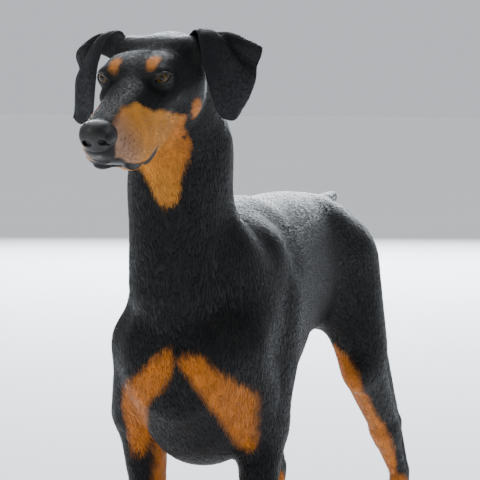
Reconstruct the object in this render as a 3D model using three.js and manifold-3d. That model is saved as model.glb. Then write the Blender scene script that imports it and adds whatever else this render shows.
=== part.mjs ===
// A standing doberman pinscher, life size, in millimetres.
// The dog faces -Y with its left side at +X, and the floor is Z = 0.
// One smooth field describes the whole body; it is meshed, thinned and then parted by thin cuts.
import * as THREE from 'three';
import Module from 'manifold-3d';

// Driving sizes
const jointGap = 0.3;
const eyeRadius = 11.5;
const eyesBehind = 6;
const eyesAbove = 4;
const earThickness = 4;
const headPitch = 27.5;
const headTurn = 3;
const headLeft = 1;
const eyeLevel = 826;
const eyesForward = 404;
const bodyTriangles = 4700;
const stanceShift = -11;
const hindStep = 35;

// A place on the dog: to its left, forward of the middle, above the floor.
// The middle values bring the whole dog's box over the origin.
const middleLeft = -8.9;
const middleForward = 47.5;
const at = (left, forward, up) => [left - middleLeft, middleForward - forward, up];

// A place on the head, measured from between the eye centres along the muzzle's bridge
const pitchSine = Math.sin(headPitch * Math.PI / 180);
const pitchCosine = Math.cos(headPitch * Math.PI / 180);
const turnSine = Math.sin(headTurn * Math.PI / 180);
const turnCosine = Math.cos(headTurn * Math.PI / 180);
function onHead(left, forward, up) {
  const ahead = forward * pitchCosine + up * pitchSine;
  return at(
    headLeft + left * turnCosine - ahead * turnSine,
    eyesForward + left * turnSine + ahead * turnCosine,
    eyeLevel - forward * pitchSine + up * pitchCosine,
  );
}

// Field pieces: each returns a distance in millimetres, negative inside
function bone(a, b, startRadius, endRadius, blend) {
  const axis = [b[0] - a[0], b[1] - a[1], b[2] - a[2]];
  const square = axis[0] ** 2 + axis[1] ** 2 + axis[2] ** 2;
  const slope = startRadius - endRadius;
  const reach = square - slope * slope;
  const inverse = 1 / square;
  const distance = (x, y, z) => {
    const px = x - a[0];
    const py = y - a[1];
    const pz = z - a[2];
    const along = px * axis[0] + py * axis[1] + pz * axis[2];
    const beyond = along - square;
    const qx = px * square - axis[0] * along;
    const qy = py * square - axis[1] * along;
    const qz = pz * square - axis[2] * along;
    const across = qx * qx + qy * qy + qz * qz;
    const alongSquare = along * along * square;
    const beyondSquare = beyond * beyond * square;
    const turn = Math.sign(slope) * slope * slope * across;
    if (Math.sign(beyond) * reach * beyondSquare > turn) {
      return Math.sqrt(across + beyondSquare) * inverse - endRadius;
    }
    if (Math.sign(along) * reach * alongSquare < turn) {
      return Math.sqrt(across + alongSquare) * inverse - startRadius;
    }
    return (Math.sqrt(across * reach * inverse) + along * slope) * inverse - startRadius;
  };
  return { distance, blend, low: lowCorner(a, b, Math.max(startRadius, endRadius)),
    high: highCorner(a, b, Math.max(startRadius, endRadius)) };
}

function lowCorner(a, b, radius) {
  return a.map((value, i) => Math.min(value, b[i]) - radius);
}

function highCorner(a, b, radius) {
  return a.map((value, i) => Math.max(value, b[i]) + radius);
}

// An egg: radii to the left, forward and up, then nose-down tilt and turn to the left in degrees
function egg(centre, radii, tilt, turn, blend) {
  const t = tilt * Math.PI / 180;
  const w = turn * Math.PI / 180;
  const ct = Math.cos(t);
  const st = Math.sin(t);
  const cw = Math.cos(w);
  const sw = Math.sin(w);
  const distance = (x, y, z) => {
    const px = x - centre[0];
    const ps = centre[1] - y;
    const pz = z - centre[2];
    const left = px * cw - ps * sw;
    const front = px * sw + ps * cw;
    const forward = front * ct - pz * st;
    const up = front * st + pz * ct;
    const ax = left / radii[0];
    const ay = forward / radii[1];
    const az = up / radii[2];
    const size = Math.sqrt(ax * ax + ay * ay + az * az);
    const bx = ax / radii[0];
    const by = ay / radii[1];
    const bz = az / radii[2];
    const steep = Math.sqrt(bx * bx + by * by + bz * bz);
    return steep > 1e-9 ? size * (size - 1) / steep : -Math.min(...radii);
  };
  const span = Math.max(...radii);
  return { distance, blend, low: centre.map((v) => v - span), high: centre.map((v) => v + span) };
}

// A smooth curve through evenly weighted stations, each [place, values...]
function stationValues(stations, place) {
  const last = stations.length - 1;
  const kept = Math.min(Math.max(place, stations[0][0]), stations[last][0]);
  let i = 0;
  while (i < last - 1 && stations[i + 1][0] < kept) {
    i += 1;
  }
  const before = stations[Math.max(i - 1, 0)];
  const start = stations[i];
  const end = stations[i + 1];
  const after = stations[Math.min(i + 2, last)];
  const span = end[0] - start[0];
  const t = (kept - start[0]) / span;
  const values = [];
  for (let k = 1; k < start.length; k += 1) {
    const leave = span * (end[k] - before[k]) / (end[0] - before[0]);
    const arrive = span * (after[k] - start[k]) / (after[0] - start[0]);
    values.push(start[k] * (1 + 2 * t) * (1 - t) ** 2 + leave * t * (1 - t) ** 2
      + end[k] * t * t * (3 - 2 * t) + arrive * t * t * (t - 1));
  }
  return values;
}

// A hull lofted along an axis through stations [along, top, bottom, half width]
function hull(stations, squareness, toLocal, low, high, blend) {
  const first = stations[0][0];
  const last = stations[stations.length - 1][0];
  const distance = (x, y, z) => {
    const [left, forward, up] = toLocal(x, y, z);
    const [top, bottom, width] = stationValues(stations, forward);
    const middle = (top + bottom) / 2;
    const height = (top - bottom) / 2;
    const ax = Math.abs(left) / width;
    const az = Math.abs(up - middle) / height;
    const size = (ax ** squareness + az ** squareness) ** (1 / squareness);
    const side = (size - 1) * Math.min(width, height);
    const end = Math.max(first - forward, forward - last, 0);
    return end > 0 ? Math.hypot(Math.max(side, 0), end) + Math.min(side, 0) * 0.2 : side;
  };
  return { distance, blend, low, high };
}

// Trunk outline from rump to breast: [forward, top, bottom, half width]
const trunkStations = [
  [-305, 608, 525, 32],
  [-265, 638, 485, 60],
  [-205, 654, 455, 76],
  [-140, 662, 446, 78],
  [-50, 662, 430, 85],
  [40, 656, 380, 97],
  [120, 642, 334, 101],
  [190, 620, 313, 96],
  [245, 590, 335, 82],
  [285, 540, 400, 54],
];

// Muzzle outline in the head's own measure: [forward, top, bottom, half width]
const muzzleStations = [
  [-30, 16, -72, 47],
  [10, 12, -81, 41],
  [40, 9.5, -83, 36],
  [75, 8.5, -78, 32],
  [105, 7.5, -66, 28.5],
  [128, 6.5, -50, 23],
];

function worldToDog(x, y, z) {
  return [x + middleLeft, middleForward - y, z];
}

function worldToHead(x, y, z) {
  const sideways = x + middleLeft - headLeft;
  const ahead = middleForward - y - eyesForward;
  const left = sideways * turnCosine + ahead * turnSine;
  const forward = ahead * turnCosine - sideways * turnSine;
  const up = z - eyeLevel;
  return [left, forward * pitchCosine - up * pitchSine, forward * pitchSine + up * pitchCosine];
}

function bodyPieces() {
  const pieces = [
    hull(trunkStations, 2.2, worldToDog, at(-115, 300, 300), at(115, -340, 680), 0),
    // breastbone and withers
    bone(at(0, 262, 490), at(0, 262, 420), 44, 40, 40),
    bone(at(0, 156, 602), at(0, 60, 614), 42, 40, 40),
    // neck: core, nape and throat
    bone(at(0, 302, 800), at(-3.5, 267, 690), 52, 58.5, 20),
    bone(at(-3.5, 267, 690), at(-4, 226, 566), 58.5, 74, 20),
    bone(at(2, 270, 792), at(2, 244, 738), 45, 49, 28),
    bone(at(2, 244, 738), at(0, 190, 590), 49, 40, 30),
    bone(at(-2, 333, 762), at(-4, 272, 560), 34, 60, 30),
    // tail stub
    bone(at(0, -275, 626), at(0, -312, 636), 22, 14, 12),
    bone(at(0, -312, 636), at(0, -340, 642), 14, 10, 3),
  ];
  for (const side of [1, -1]) {
    const arm = side > 0 ? 66 : -101;
    const leg = side * 80 + stanceShift;
    const lead = side > 0 ? 0 : 10;
    const hip = side > 0 ? 0 : hindStep;
    const out = side > 0 ? 90 : -100;
    pieces.push(
      // shoulder blade, point of shoulder, upper arm, triceps and breast muscle
      bone(at(side * 46, 124, 590), at(side * 62 - 4, 228, 486), 34, 40, 35),
      egg(at(side * 44, 206, 575), [42, 50, 66], 20, 0, 30),
      bone(at(side * 62 - 4, 236, 474), at(arm, 168 + lead, 380), 39, 36, 22),
      bone(at(side * 62 - 6, 100, 520), at(arm, 140 + lead, 378), 42, 34, 25),
      egg(at(side * 36 - 3, 262, 455), [44, 44, 68], 12, 0, 22),
      // elbow and forearm
      egg(at(arm + side * 10, 122 + lead, 356), [16, 18, 28], -20, 0, 12),
      bone(at(arm, 148 + lead, 356), at(leg - side * 2, 168, 262), 34, 24, 16),
      bone(at(leg - side * 2, 168, 262), at(leg - side * 5, 176, 140), 23.5, 16.5, 10),
      // wrist and pastern
      bone(at(leg - side * 5, 177, 138), at(leg - side * 5, 178, 108), 18.5, 17.5, 8),
      bone(at(leg - side * 5, 178, 108), at(leg - side * 3, 196, 42), 16.5, 17.5, 8),
      // croup, thigh and seat bone
      bone(at(side * 38, -186, 598), at(side * 38, -258, 566), 40, 38, 35),
      bone(at(side * 52, -222, 558), at(side * 82, -236 + hip, 420), 56, 39, 35),
      bone(at(side * 52, -254, 542), at(side * 75, -272 + hip, 430), 43, 32, 30),
      // knee, lower thigh and heel string
      egg(at(side * 86, -220 + hip, 386), [23, 26, 30], 0, 0, 16),
      bone(at(side * 84, -246 + hip, 388), at(out, -348 + hip, 276), 34, 21, 18),
      bone(at(side * 78, -304 + hip, 405), at(out, -374 + hip, 292), 25, 13, 22),
      bone(at(out, -334 + hip, 284), at(out + side * 2, -402 + hip, 206), 22, 14, 14),
      bone(at(out, -376 + hip, 292), at(out + side * 2, -424 + hip, 208), 13, 11, 10),
      // hock and rear pastern
      egg(at(out + side * 2, -412 + hip, 198), [14.5, 23, 22], -20, 0, 8),
      bone(at(out + side * 2, -404 + hip, 188), at(out + side, -392 + hip, 140), 16, 14.5, 8),
      bone(at(out + side, -392 + hip, 140), at(out, -378 + hip, 44), 14.5, 16.5, 8),
    );
  }
  return pieces;
}

function headPieces() {
  const pieces = [
    // skull, nape of the skull and lower jaw
    egg(onHead(0, -48, -22), [54, 74, 42], headPitch, -headTurn, 16),
    egg(onHead(0, -88, -20), [38, 34, 30], headPitch, -headTurn, 20),
    bone(onHead(-37, -64, 4), onHead(37, -64, 4), 17, 17, 14),
    hull(muzzleStations, 2.5, worldToHead, at(-50, 560, 700), at(50, 330, 850), 14),
    bone(onHead(0, -34, -62), onHead(0, 64, -74), 34, 17, 16),
    // nose and upper lip
    egg(onHead(0, 129, -6), [19.5, 16, 15.5], headPitch, -headTurn, 5),
    egg(onHead(0, 122, -26), [23, 20, 19], headPitch, -headTurn, 8),
    bone(onHead(0, 96, -46), onHead(0, 118, -38), 15, 11, 6),
  ];
  for (const side of [1, -1]) {
    pieces.push(
      // brow, cheekbone, chewing muscle and hanging lip
      egg(onHead(side * 27, -10, 9), [20, 25, 13], headPitch, side * -12 - headTurn, 16),
      bone(onHead(side * 39, 14, -20), onHead(side * 50, -42, -22), 12, 15, 16),
      egg(onHead(side * 38, -42, -40), [22, 36, 36], headPitch, -headTurn, 16),
      egg(onHead(side * 20, 82, -46), [14, 38, 31], headPitch - 6, side * 4 - headTurn, 12),
      egg(onHead(side * 21, 56, -58), [11, 28, 25], headPitch, side * 6 - headTurn, 10),
      // root of the ear
      egg(onHead(side * 44, -70, -2), [16, 24, 17], headPitch, -headTurn, 18),
    );
  }
  return pieces;
}

// Where the four toes of a foot start, arch and end
function toePlaces(forward, across, { width, length }) {
  return [0, 1, 2, 3].map((number) => {
    const share = (number - 1.5) / 1.5;
    const inner = number === 1 || number === 2;
    const x = across + share * width * 0.36;
    const reach = forward + (inner ? length * 0.3 : length * 0.14);
    return {
      number: number + 1,
      share,
      start: at((x + across) / 2, forward - 12, 28),
      arch: at(x, reach - 10, 21),
      tip: at(x + share * 2, reach + 4, 9.5),
    };
  });
}

// Four toes and a heel pad; the floor cut makes the small flats they stand on
function pawPieces(forward, across, size) {
  const pieces = [
    egg(at(across, forward - 12, 30), [size.width * 0.4, size.length * 0.42, 22], 12, 0, 10),
    egg(at(across, forward - 16, 12), [size.width * 0.3, size.length * 0.2, 14], 0, 0, 8),
  ];
  for (const toe of toePlaces(forward, across, size)) {
    pieces.push(
      bone(toe.start, toe.arch, 10, 11.5, 8),
      bone(toe.arch, toe.tip, 11.5, 9.8, 3),
    );
  }
  return pieces;
}

// All field pieces joined smoothly, each only near its own box
function joinedField(pieces) {
  return (x, y, z) => {
    let value = 60;
    for (const piece of pieces) {
      const room = 45;
      if (x < piece.low[0] - room || x > piece.high[0] + room) {
        continue;
      }
      if (y < piece.low[1] - room || y > piece.high[1] + room) {
        continue;
      }
      if (z < piece.low[2] - room || z > piece.high[2] + room) {
        continue;
      }
      const next = piece.distance(x, y, z);
      const blend = Math.max(piece.blend, 0.01);
      const overlap = Math.max(blend - Math.abs(value - next), 0) / blend;
      value = Math.min(value, next) - overlap * overlap * blend / 4;
    }
    return Math.max(value, -z - 2);
  };
}

// The field's zero surface as triangles, six tetrahedra to a cell
function meshField(field, low, high, cell) {
  const count = low.map((value, i) => Math.ceil((high[i] - value) / cell) + 1);
  const [nx, ny, nz] = count;
  const values = new Float32Array(nx * ny * nz);
  const index = (i, j, k) => i + nx * (j + ny * k);
  for (let k = 0; k < nz; k += 1) {
    for (let j = 0; j < ny; j += 1) {
      for (let i = 0; i < nx; i += 1) {
        values[index(i, j, k)] = field(low[0] + i * cell, low[1] + j * cell, low[2] + k * cell);
      }
    }
  }
  const points = [];
  const faces = [];
  const made = new Map();
  const place = (n) => {
    const i = n % nx;
    const j = Math.floor(n / nx) % ny;
    const k = Math.floor(n / (nx * ny));
    return [low[0] + i * cell, low[1] + j * cell, low[2] + k * cell];
  };
  const crossing = (p, q) => {
    const a = Math.min(p, q);
    const b = Math.max(p, q);
    const key = a * 16777216 + (b - a);
    if (made.has(key)) {
      return made.get(key);
    }
    const share = Math.min(Math.max(values[a] / (values[a] - values[b]), 0.03), 0.97);
    const from = place(a);
    const to = place(b);
    points.push(from.map((value, i) => value + (to[i] - value) * share));
    made.set(key, points.length - 1);
    return points.length - 1;
  };
  const tetrahedra = [[0, 5, 1, 6], [0, 1, 2, 6], [0, 2, 3, 6], [0, 3, 7, 6], [0, 7, 4, 6], [0, 4, 5, 6]];
  for (let k = 0; k < nz - 1; k += 1) {
    for (let j = 0; j < ny - 1; j += 1) {
      for (let i = 0; i < nx - 1; i += 1) {
        const corner = [
          index(i, j, k), index(i + 1, j, k), index(i + 1, j + 1, k), index(i, j + 1, k),
          index(i, j, k + 1), index(i + 1, j, k + 1), index(i + 1, j + 1, k + 1), index(i, j + 1, k + 1),
        ];
        const inside = corner.filter((n) => values[n] < 0).length;
        if (inside === 0 || inside === 8) {
          continue;
        }
        for (const four of tetrahedra) {
          const n = four.map((c) => corner[c]);
          const within = n.filter((v) => values[v] < 0);
          const without = n.filter((v) => values[v] >= 0);
          if (within.length === 0 || without.length === 0) {
            continue;
          }
          let ring;
          if (within.length === 1) {
            ring = without.map((v) => crossing(within[0], v));
          } else if (within.length === 3) {
            ring = within.map((v) => crossing(v, without[0]));
          } else {
            ring = [crossing(within[0], without[0]), crossing(within[0], without[1]),
              crossing(within[1], without[1]), crossing(within[1], without[0])];
          }
          const inner = place(within[0]);
          const a = points[ring[0]];
          const b = points[ring[1]];
          const c = points[ring[2]];
          const u = [b[0] - a[0], b[1] - a[1], b[2] - a[2]];
          const v = [c[0] - a[0], c[1] - a[1], c[2] - a[2]];
          const w = [inner[0] - a[0], inner[1] - a[1], inner[2] - a[2]];
          const turn = (u[1] * v[2] - u[2] * v[1]) * w[0] + (u[2] * v[0] - u[0] * v[2]) * w[1]
            + (u[0] * v[1] - u[1] * v[0]) * w[2];
          if (turn > 0) {
            ring.reverse();
          }
          faces.push([ring[0], ring[1], ring[2]]);
          if (ring.length === 4) {
            faces.push([ring[0], ring[2], ring[3]]);
          }
        }
      }
    }
  }
  return { points, faces };
}

// Thins a closed mesh by edge collapse, keeping flats and creases; detail says where to stay fine
function thinMesh(mesh, target, detail) {
  const points = mesh.points.map((p) => p.slice());
  const faces = mesh.faces.map((f) => f.slice());
  const around = points.map(() => new Set());
  const quadrics = points.map(() => new Float64Array(10));
  const stamp = new Int32Array(points.length);
  const alive = new Uint8Array(faces.length).fill(1);
  let left = faces.length;
  const normalOf = (f, move, to) => {
    const [a, b, c] = f.map((v) => (v === move ? to : points[v]));
    const u = [b[0] - a[0], b[1] - a[1], b[2] - a[2]];
    const v = [c[0] - a[0], c[1] - a[1], c[2] - a[2]];
    return [u[1] * v[2] - u[2] * v[1], u[2] * v[0] - u[0] * v[2], u[0] * v[1] - u[1] * v[0]];
  };
  faces.forEach((f, n) => {
    const normal = normalOf(f, -1, null);
    const size = Math.hypot(...normal) || 1e-12;
    const [a, b, c] = normal.map((value) => value / size);
    const p = points[f[0]];
    const d = -(a * p[0] + b * p[1] + c * p[2]);
    const weight = size * detail(p);
    const terms = [a * a, a * b, a * c, a * d, b * b, b * c, b * d, c * c, c * d, d * d];
    for (const v of f) {
      around[v].add(n);
      terms.forEach((term, i) => {
        quadrics[v][i] += term * weight;
      });
    }
  });
  const cost = (q, p) => q[0] * p[0] * p[0] + 2 * q[1] * p[0] * p[1] + 2 * q[2] * p[0] * p[2]
    + 2 * q[3] * p[0] + q[4] * p[1] * p[1] + 2 * q[5] * p[1] * p[2] + 2 * q[6] * p[1]
    + q[7] * p[2] * p[2] + 2 * q[8] * p[2] + q[9];
  const bestPlace = (q, a, b) => {
    const middle = a.map((value, i) => (value + b[i]) / 2);
    const m = [q[0], q[1], q[2], q[1], q[4], q[5], q[2], q[5], q[7]];
    const trace = (m[0] + m[4] + m[8]) * 1e-4 + 1e-9;
    m[0] += trace;
    m[4] += trace;
    m[8] += trace;
    const r = [-q[3] + trace * middle[0], -q[6] + trace * middle[1], -q[8] + trace * middle[2]];
    const c0 = m[4] * m[8] - m[5] * m[7];
    const c1 = m[5] * m[6] - m[3] * m[8];
    const c2 = m[3] * m[7] - m[4] * m[6];
    const whole = m[0] * c0 + m[1] * c1 + m[2] * c2;
    const x = (r[0] * c0 + m[1] * (m[5] * r[2] - r[1] * m[8]) + m[2] * (r[1] * m[7] - m[4] * r[2])) / whole;
    const y = (m[0] * (r[1] * m[8] - m[5] * r[2]) + r[0] * c1 + m[2] * (m[3] * r[2] - r[1] * m[6])) / whole;
    const z = (m[0] * (m[4] * r[2] - r[1] * m[7]) + m[1] * (r[1] * m[6] - m[3] * r[2]) + r[0] * c2) / whole;
    return [x, y, z];
  };
  const heap = [];
  const push = (entry) => {
    let i = heap.push(entry) - 1;
    while (i > 0) {
      const up = (i - 1) >> 1;
      if (heap[up].cost <= entry.cost) {
        break;
      }
      heap[i] = heap[up];
      i = up;
    }
    heap[i] = entry;
  };
  const pop = () => {
    const top = heap[0];
    const entry = heap.pop();
    if (heap.length > 0) {
      let i = 0;
      for (;;) {
        let child = 2 * i + 1;
        if (child >= heap.length) {
          break;
        }
        if (child + 1 < heap.length && heap[child + 1].cost < heap[child].cost) {
          child += 1;
        }
        if (heap[child].cost >= entry.cost) {
          break;
        }
        heap[i] = heap[child];
        i = child;
      }
      heap[i] = entry;
    }
    return top;
  };
  const offer = (a, b) => {
    const q = quadrics[a].map((value, i) => value + quadrics[b][i]);
    const to = bestPlace(q, points[a], points[b]);
    const length = Math.hypot(...points[a].map((value, i) => value - points[b][i]));
    const price = Math.max(cost(q, to), 0) + 1e-4 * length * length * detail(to);
    push({ cost: price, a, b, to, at: stamp[a], bt: stamp[b] });
  };
  const neighbours = (v) => {
    const found = new Set();
    for (const n of around[v]) {
      for (const w of faces[n]) {
        if (w !== v) {
          found.add(w);
        }
      }
    }
    return found;
  };
  points.forEach((p, a) => {
    for (const b of neighbours(a)) {
      if (a < b) {
        offer(a, b);
      }
    }
  });
  while (left > target && heap.length > 0) {
    const { a, b, to, at: aStamp, bt: bStamp } = pop();
    if (stamp[a] !== aStamp || stamp[b] !== bStamp) {
      continue;
    }
    const beside = neighbours(b);
    const shared = [...neighbours(a)].filter((v) => beside.has(v));
    if (shared.length !== 2 || shared.some((v) => around[v].size < 4)) {
      continue;
    }
    let flips = false;
    for (const [move, other] of [[a, b], [b, a]]) {
      for (const n of around[move]) {
        if (faces[n].includes(other)) {
          continue;
        }
        const was = normalOf(faces[n], -1, null);
        const now = normalOf(faces[n], move, to);
        const dot = was[0] * now[0] + was[1] * now[1] + was[2] * now[2];
        const size = Math.hypot(...now);
        if (dot < 0.25 * Math.hypot(...was) * size || size < 0.05) {
          flips = true;
          break;
        }
      }
    }
    if (flips) {
      continue;
    }
    points[a] = to;
    quadrics[b].forEach((value, i) => {
      quadrics[a][i] += value;
    });
    for (const n of [...around[b]]) {
      if (faces[n].includes(a)) {
        alive[n] = 0;
        left -= 1;
        for (const v of faces[n]) {
          around[v].delete(n);
        }
      } else {
        faces[n] = faces[n].map((v) => (v === b ? a : v));
        around[a].add(n);
      }
    }
    around[b].clear();
    stamp[b] += 1;
    stamp[a] += 1;
    const near = neighbours(a);
    for (const v of near) {
      offer(a, v);
    }
  }
  const used = new Map();
  const kept = [];
  const thin = [];
  faces.forEach((f, n) => {
    if (alive[n]) {
      thin.push(f.map((v) => {
        if (!used.has(v)) {
          used.set(v, kept.length);
          kept.push(points[v]);
        }
        return used.get(v);
      }));
    }
  });
  return { points: kept, faces: thin };
}

// Joins and cuts of closed solids
const wasm = await Module();
wasm.setup();

function solidFrom(mesh) {
  const points = new Float32Array(mesh.points.flat());
  const faces = new Uint32Array(mesh.faces.flat());
  return new wasm.Manifold(new wasm.Mesh({ numProp: 3, vertProperties: points, triVerts: faces }));
}

function solidFromGeometry(geometry) {
  geometry.deleteAttribute('normal');
  geometry.deleteAttribute('uv');
  const joined = mergeByPlace(geometry);
  return solidFrom(joined);
}

function mergeByPlace(geometry) {
  const places = geometry.getAttribute('position');
  const order = geometry.getIndex();
  const made = new Map();
  const points = [];
  const number = [];
  for (let i = 0; i < places.count; i += 1) {
    const p = [places.getX(i), places.getY(i), places.getZ(i)];
    const key = p.map((value) => Math.round(value * 1000)).join(' ');
    if (!made.has(key)) {
      made.set(key, points.length);
      points.push(p);
    }
    number.push(made.get(key));
  }
  const faces = [];
  for (let i = 0; i < order.count; i += 3) {
    const f = [0, 1, 2].map((k) => number[order.getX(i + k)]);
    if (f[0] !== f[1] && f[1] !== f[2] && f[0] !== f[2]) {
      faces.push(f);
    }
  }
  return { points, faces };
}

// A cutting block by its centre, its full size, and a turn about the left axis in degrees
function block(centre, size, tilt) {
  const geometry = new THREE.BoxGeometry(size[0], size[1], size[2]);
  geometry.rotateX(tilt * Math.PI / 180);
  geometry.translate(centre[0], centre[1], centre[2]);
  return solidFromGeometry(geometry);
}

function ball(centre, radius, detail) {
  const geometry = new THREE.SphereGeometry(radius, detail, Math.round(detail * 0.6));
  geometry.rotateX(Math.PI / 2);
  geometry.translate(centre[0], centre[1], centre[2]);
  return solidFromGeometry(geometry);
}

// A claw: a bent cone with rings that sink and shrink toward the tip
function claw(root, forward, drop, radius, length, bendOut) {
  const rings = 3;
  const sides = 6;
  const points = [];
  const faces = [];
  for (let i = 0; i < rings; i += 1) {
    const t = i / rings;
    const size = radius * (1 - 0.72 * t * t);
    const middle = [root[0] + bendOut * t, root[1] - forward * length * t, root[2] - drop * length * t * (0.5 + t)];
    for (let j = 0; j < sides; j += 1) {
      const turn = 2 * Math.PI * j / sides;
      points.push([middle[0] + size * Math.cos(turn), middle[1], middle[2] + size * 1.15 * Math.sin(turn)]);
    }
  }
  const back = points.push([root[0], root[1] + radius * 0.3, root[2]]) - 1;
  const tip = points.push([root[0] + bendOut, root[1] - forward * length, root[2] - drop * length * 1.5]) - 1;
  for (let j = 0; j < sides; j += 1) {
    const next = (j + 1) % sides;
    faces.push([j, back, next]);
    for (let i = 0; i < rings - 1; i += 1) {
      const a = i * sides + j;
      const b = i * sides + next;
      faces.push([a, b, b + sides]);
      faces.push([a, b + sides, a + sides]);
    }
    faces.push([(rings - 1) * sides + j, (rings - 1) * sides + next, tip]);
  }
  return solidFrom(turnedOut({ points, faces }));
}

// Flips a closed mesh whose faces look inward
function turnedOut(mesh) {
  let volume = 0;
  for (const [a, b, c] of mesh.faces.map((f) => f.map((v) => mesh.points[v]))) {
    volume += a[0] * (b[1] * c[2] - b[2] * c[1]) + a[1] * (b[2] * c[0] - b[0] * c[2])
      + a[2] * (b[0] * c[1] - b[1] * c[0]);
  }
  return volume > 0 ? mesh : { points: mesh.points, faces: mesh.faces.map((f) => [f[0], f[2], f[1]]) };
}

// Drop ear, given by curves across its width from front edge to back edge.
// Each curve is [left, forward, up] of its front, middle and back, measured from between the eyes
// without the head's pitch, because the flap hangs straight down.
const earRows = [
  [[34, -50, 40], [48, -74, 34], [56, -100, 4]],
  [[44, -58, 53], [66, -86, 46], [86, -110, 24]],
  [[50, -58, 58], [80, -80, 55], [116, -106, 36]],
  [[60, -50, 50], [88, -68, 44], [121, -100, 28]],
  [[70, -46, 22], [94, -66, 14], [117, -98, 2]],
  [[73, -48, -8], [93, -66, -18], [109, -94, -24]],
  [[78, -58, -40], [90, -74, -53], [100, -86, -44]],
];

function curvePoint(list, t) {
  const last = list.length - 1;
  const i = Math.min(Math.floor(t * last), last - 1);
  const u = t * last - i;
  const a = list[Math.max(i - 1, 0)];
  const b = list[i];
  const c = list[i + 1];
  const d = list[Math.min(i + 2, last)];
  return b.map((value, k) => value + 0.5 * u * (c[k] - a[k] + u * (2 * a[k] - 5 * value + 4 * c[k] - d[k]
    + u * (3 * value - a[k] - 3 * c[k] + d[k]))));
}

function earPoint(side, across, along) {
  const row = [0, 1, 2].map((k) => curvePoint(earRows.map((r) => r[k]), along));
  const bow = 4 * across * (1 - across);
  const [left, forward, up] = row[0].map((value, k) => value * (1 - across) * (1 - across)
    + row[1][k] * 2 * across * (1 - across) + row[2][k] * across * across);
  const sag = row[1].map((value, k) => (value - (row[0][k] + row[2][k]) / 2) * 0.5 * bow);
  const spread = side < 0 ? 29 * along * along * (0.3 + 0.7 * across) : 0;
  const drop = side < 0 ? 6 * along * along : 0;
  return at(
    headLeft + side * (left + sag[0] + spread),
    eyesForward + forward + sag[1],
    eyeLevel + up + sag[2] - drop,
  );
}

function ear(side) {
  const across = 8;
  const along = 12;
  const middle = [];
  for (let j = 0; j <= along; j += 1) {
    for (let i = 0; i <= across; i += 1) {
      middle.push(new THREE.Vector3(...earPoint(side, i / across, j / along)));
    }
  }
  const row = across + 1;
  const points = [];
  for (const face of [1, -1]) {
    for (let j = 0; j <= along; j += 1) {
      for (let i = 0; i <= across; i += 1) {
        const a = middle[j * row + Math.min(i + 1, across)].clone().sub(middle[j * row + Math.max(i - 1, 0)]);
        const b = middle[Math.min(j + 1, along) * row + i].clone().sub(middle[Math.max(j - 1, 0) * row + i]);
        const edge = i === 0 || i === across || j === along;
        const offset = a.cross(b).normalize().multiplyScalar(face * earThickness * (edge ? 0.3 : 0.5));
        points.push(middle[j * row + i].clone().add(offset).toArray());
      }
    }
  }
  const layer = row * (along + 1);
  const faces = [];
  for (let j = 0; j < along; j += 1) {
    for (let i = 0; i < across; i += 1) {
      const a = j * row + i;
      faces.push([a, a + 1, a + row + 1], [a, a + row + 1, a + row]);
      faces.push([layer + a, layer + a + row + 1, layer + a + 1], [layer + a, layer + a + row, layer + a + row + 1]);
    }
  }
  const rim = [];
  for (let i = 0; i < across; i += 1) {
    rim.push([i + 1, i], [along * row + i, along * row + i + 1]);
  }
  for (let j = 0; j < along; j += 1) {
    rim.push([j * row, (j + 1) * row], [(j + 1) * row + across, j * row + across]);
  }
  for (const [a, b] of rim) {
    faces.push([a, b, layer + b], [a, layer + b, layer + a]);
  }
  return solidFrom(turnedOut({ points, faces }));
}

// A mesh moved outward along its own vertex normals, for the gap around a neighbour
function swollen(solid, distance) {
  const mesh = solid.getMesh();
  const points = [];
  const normals = [];
  for (let i = 0; i < mesh.numVert; i += 1) {
    points.push([...mesh.vertProperties.slice(i * mesh.numProp, i * mesh.numProp + 3)]);
    normals.push([0, 0, 0]);
  }
  const faces = [];
  for (let i = 0; i < mesh.numTri; i += 1) {
    faces.push([...mesh.triVerts.slice(i * 3, i * 3 + 3)]);
  }
  for (const f of faces) {
    const [a, b, c] = f.map((v) => new THREE.Vector3(...points[v]));
    const normal = b.clone().sub(a).cross(c.clone().sub(a));
    for (const v of f) {
      normals[v][0] += normal.x;
      normals[v][1] += normal.y;
      normals[v][2] += normal.z;
    }
  }
  const moved = points.map((p, i) => {
    const size = Math.hypot(...normals[i]) || 1;
    return p.map((value, k) => value + normals[i][k] / size * distance);
  });
  return solidFrom({ points: moved, faces });
}

// Where the mesh stays fine: face most of all, then feet
function fineness(p) {
  const forward = middleForward - p[1];
  if (forward > 330 && p[2] > 715) {
    return forward > 395 ? 16 : 6;
  }
  if (p[2] < 60) {
    return 5;
  }
  return p[2] < 300 ? 1.6 : 1;
}

const group = new THREE.Group();
const finishes = {
  coat: { color: 0x17171a, roughness: 0.55 },
  tan: { color: 0xa2572a, roughness: 0.6 },
  leather: { color: 0x131314, roughness: 0.4 },
  eye: { color: 0x3a1f10, roughness: 0.15 },
  claw: { color: 0x1b1715, roughness: 0.45 },
};

function addNode(name, solid, finish) {
  const mesh = solid.getMesh();
  const geometry = new THREE.BufferGeometry();
  const points = new Float32Array(mesh.numVert * 3);
  for (let i = 0; i < mesh.numVert; i += 1) {
    points.set(mesh.vertProperties.slice(i * mesh.numProp, i * mesh.numProp + 3), i * 3);
  }
  geometry.setAttribute('position', new THREE.BufferAttribute(points, 3));
  geometry.setIndex(new THREE.BufferAttribute(new Uint32Array(mesh.triVerts), 1));
  geometry.computeVertexNormals();
  const made = new THREE.Mesh(geometry, new THREE.MeshStandardMaterial(finishes[finish]));
  made.name = name;
  group.add(made);
}

// Parts one region off the rest, leaving the gap around it
function partOff(whole, centre, size, tilt) {
  const wide = size.map((value) => value + 2 * jointGap);
  return {
    part: whole.intersect(block(centre, size, tilt)),
    rest: whole.subtract(block(centre, wide, tilt)),
  };
}

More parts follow.
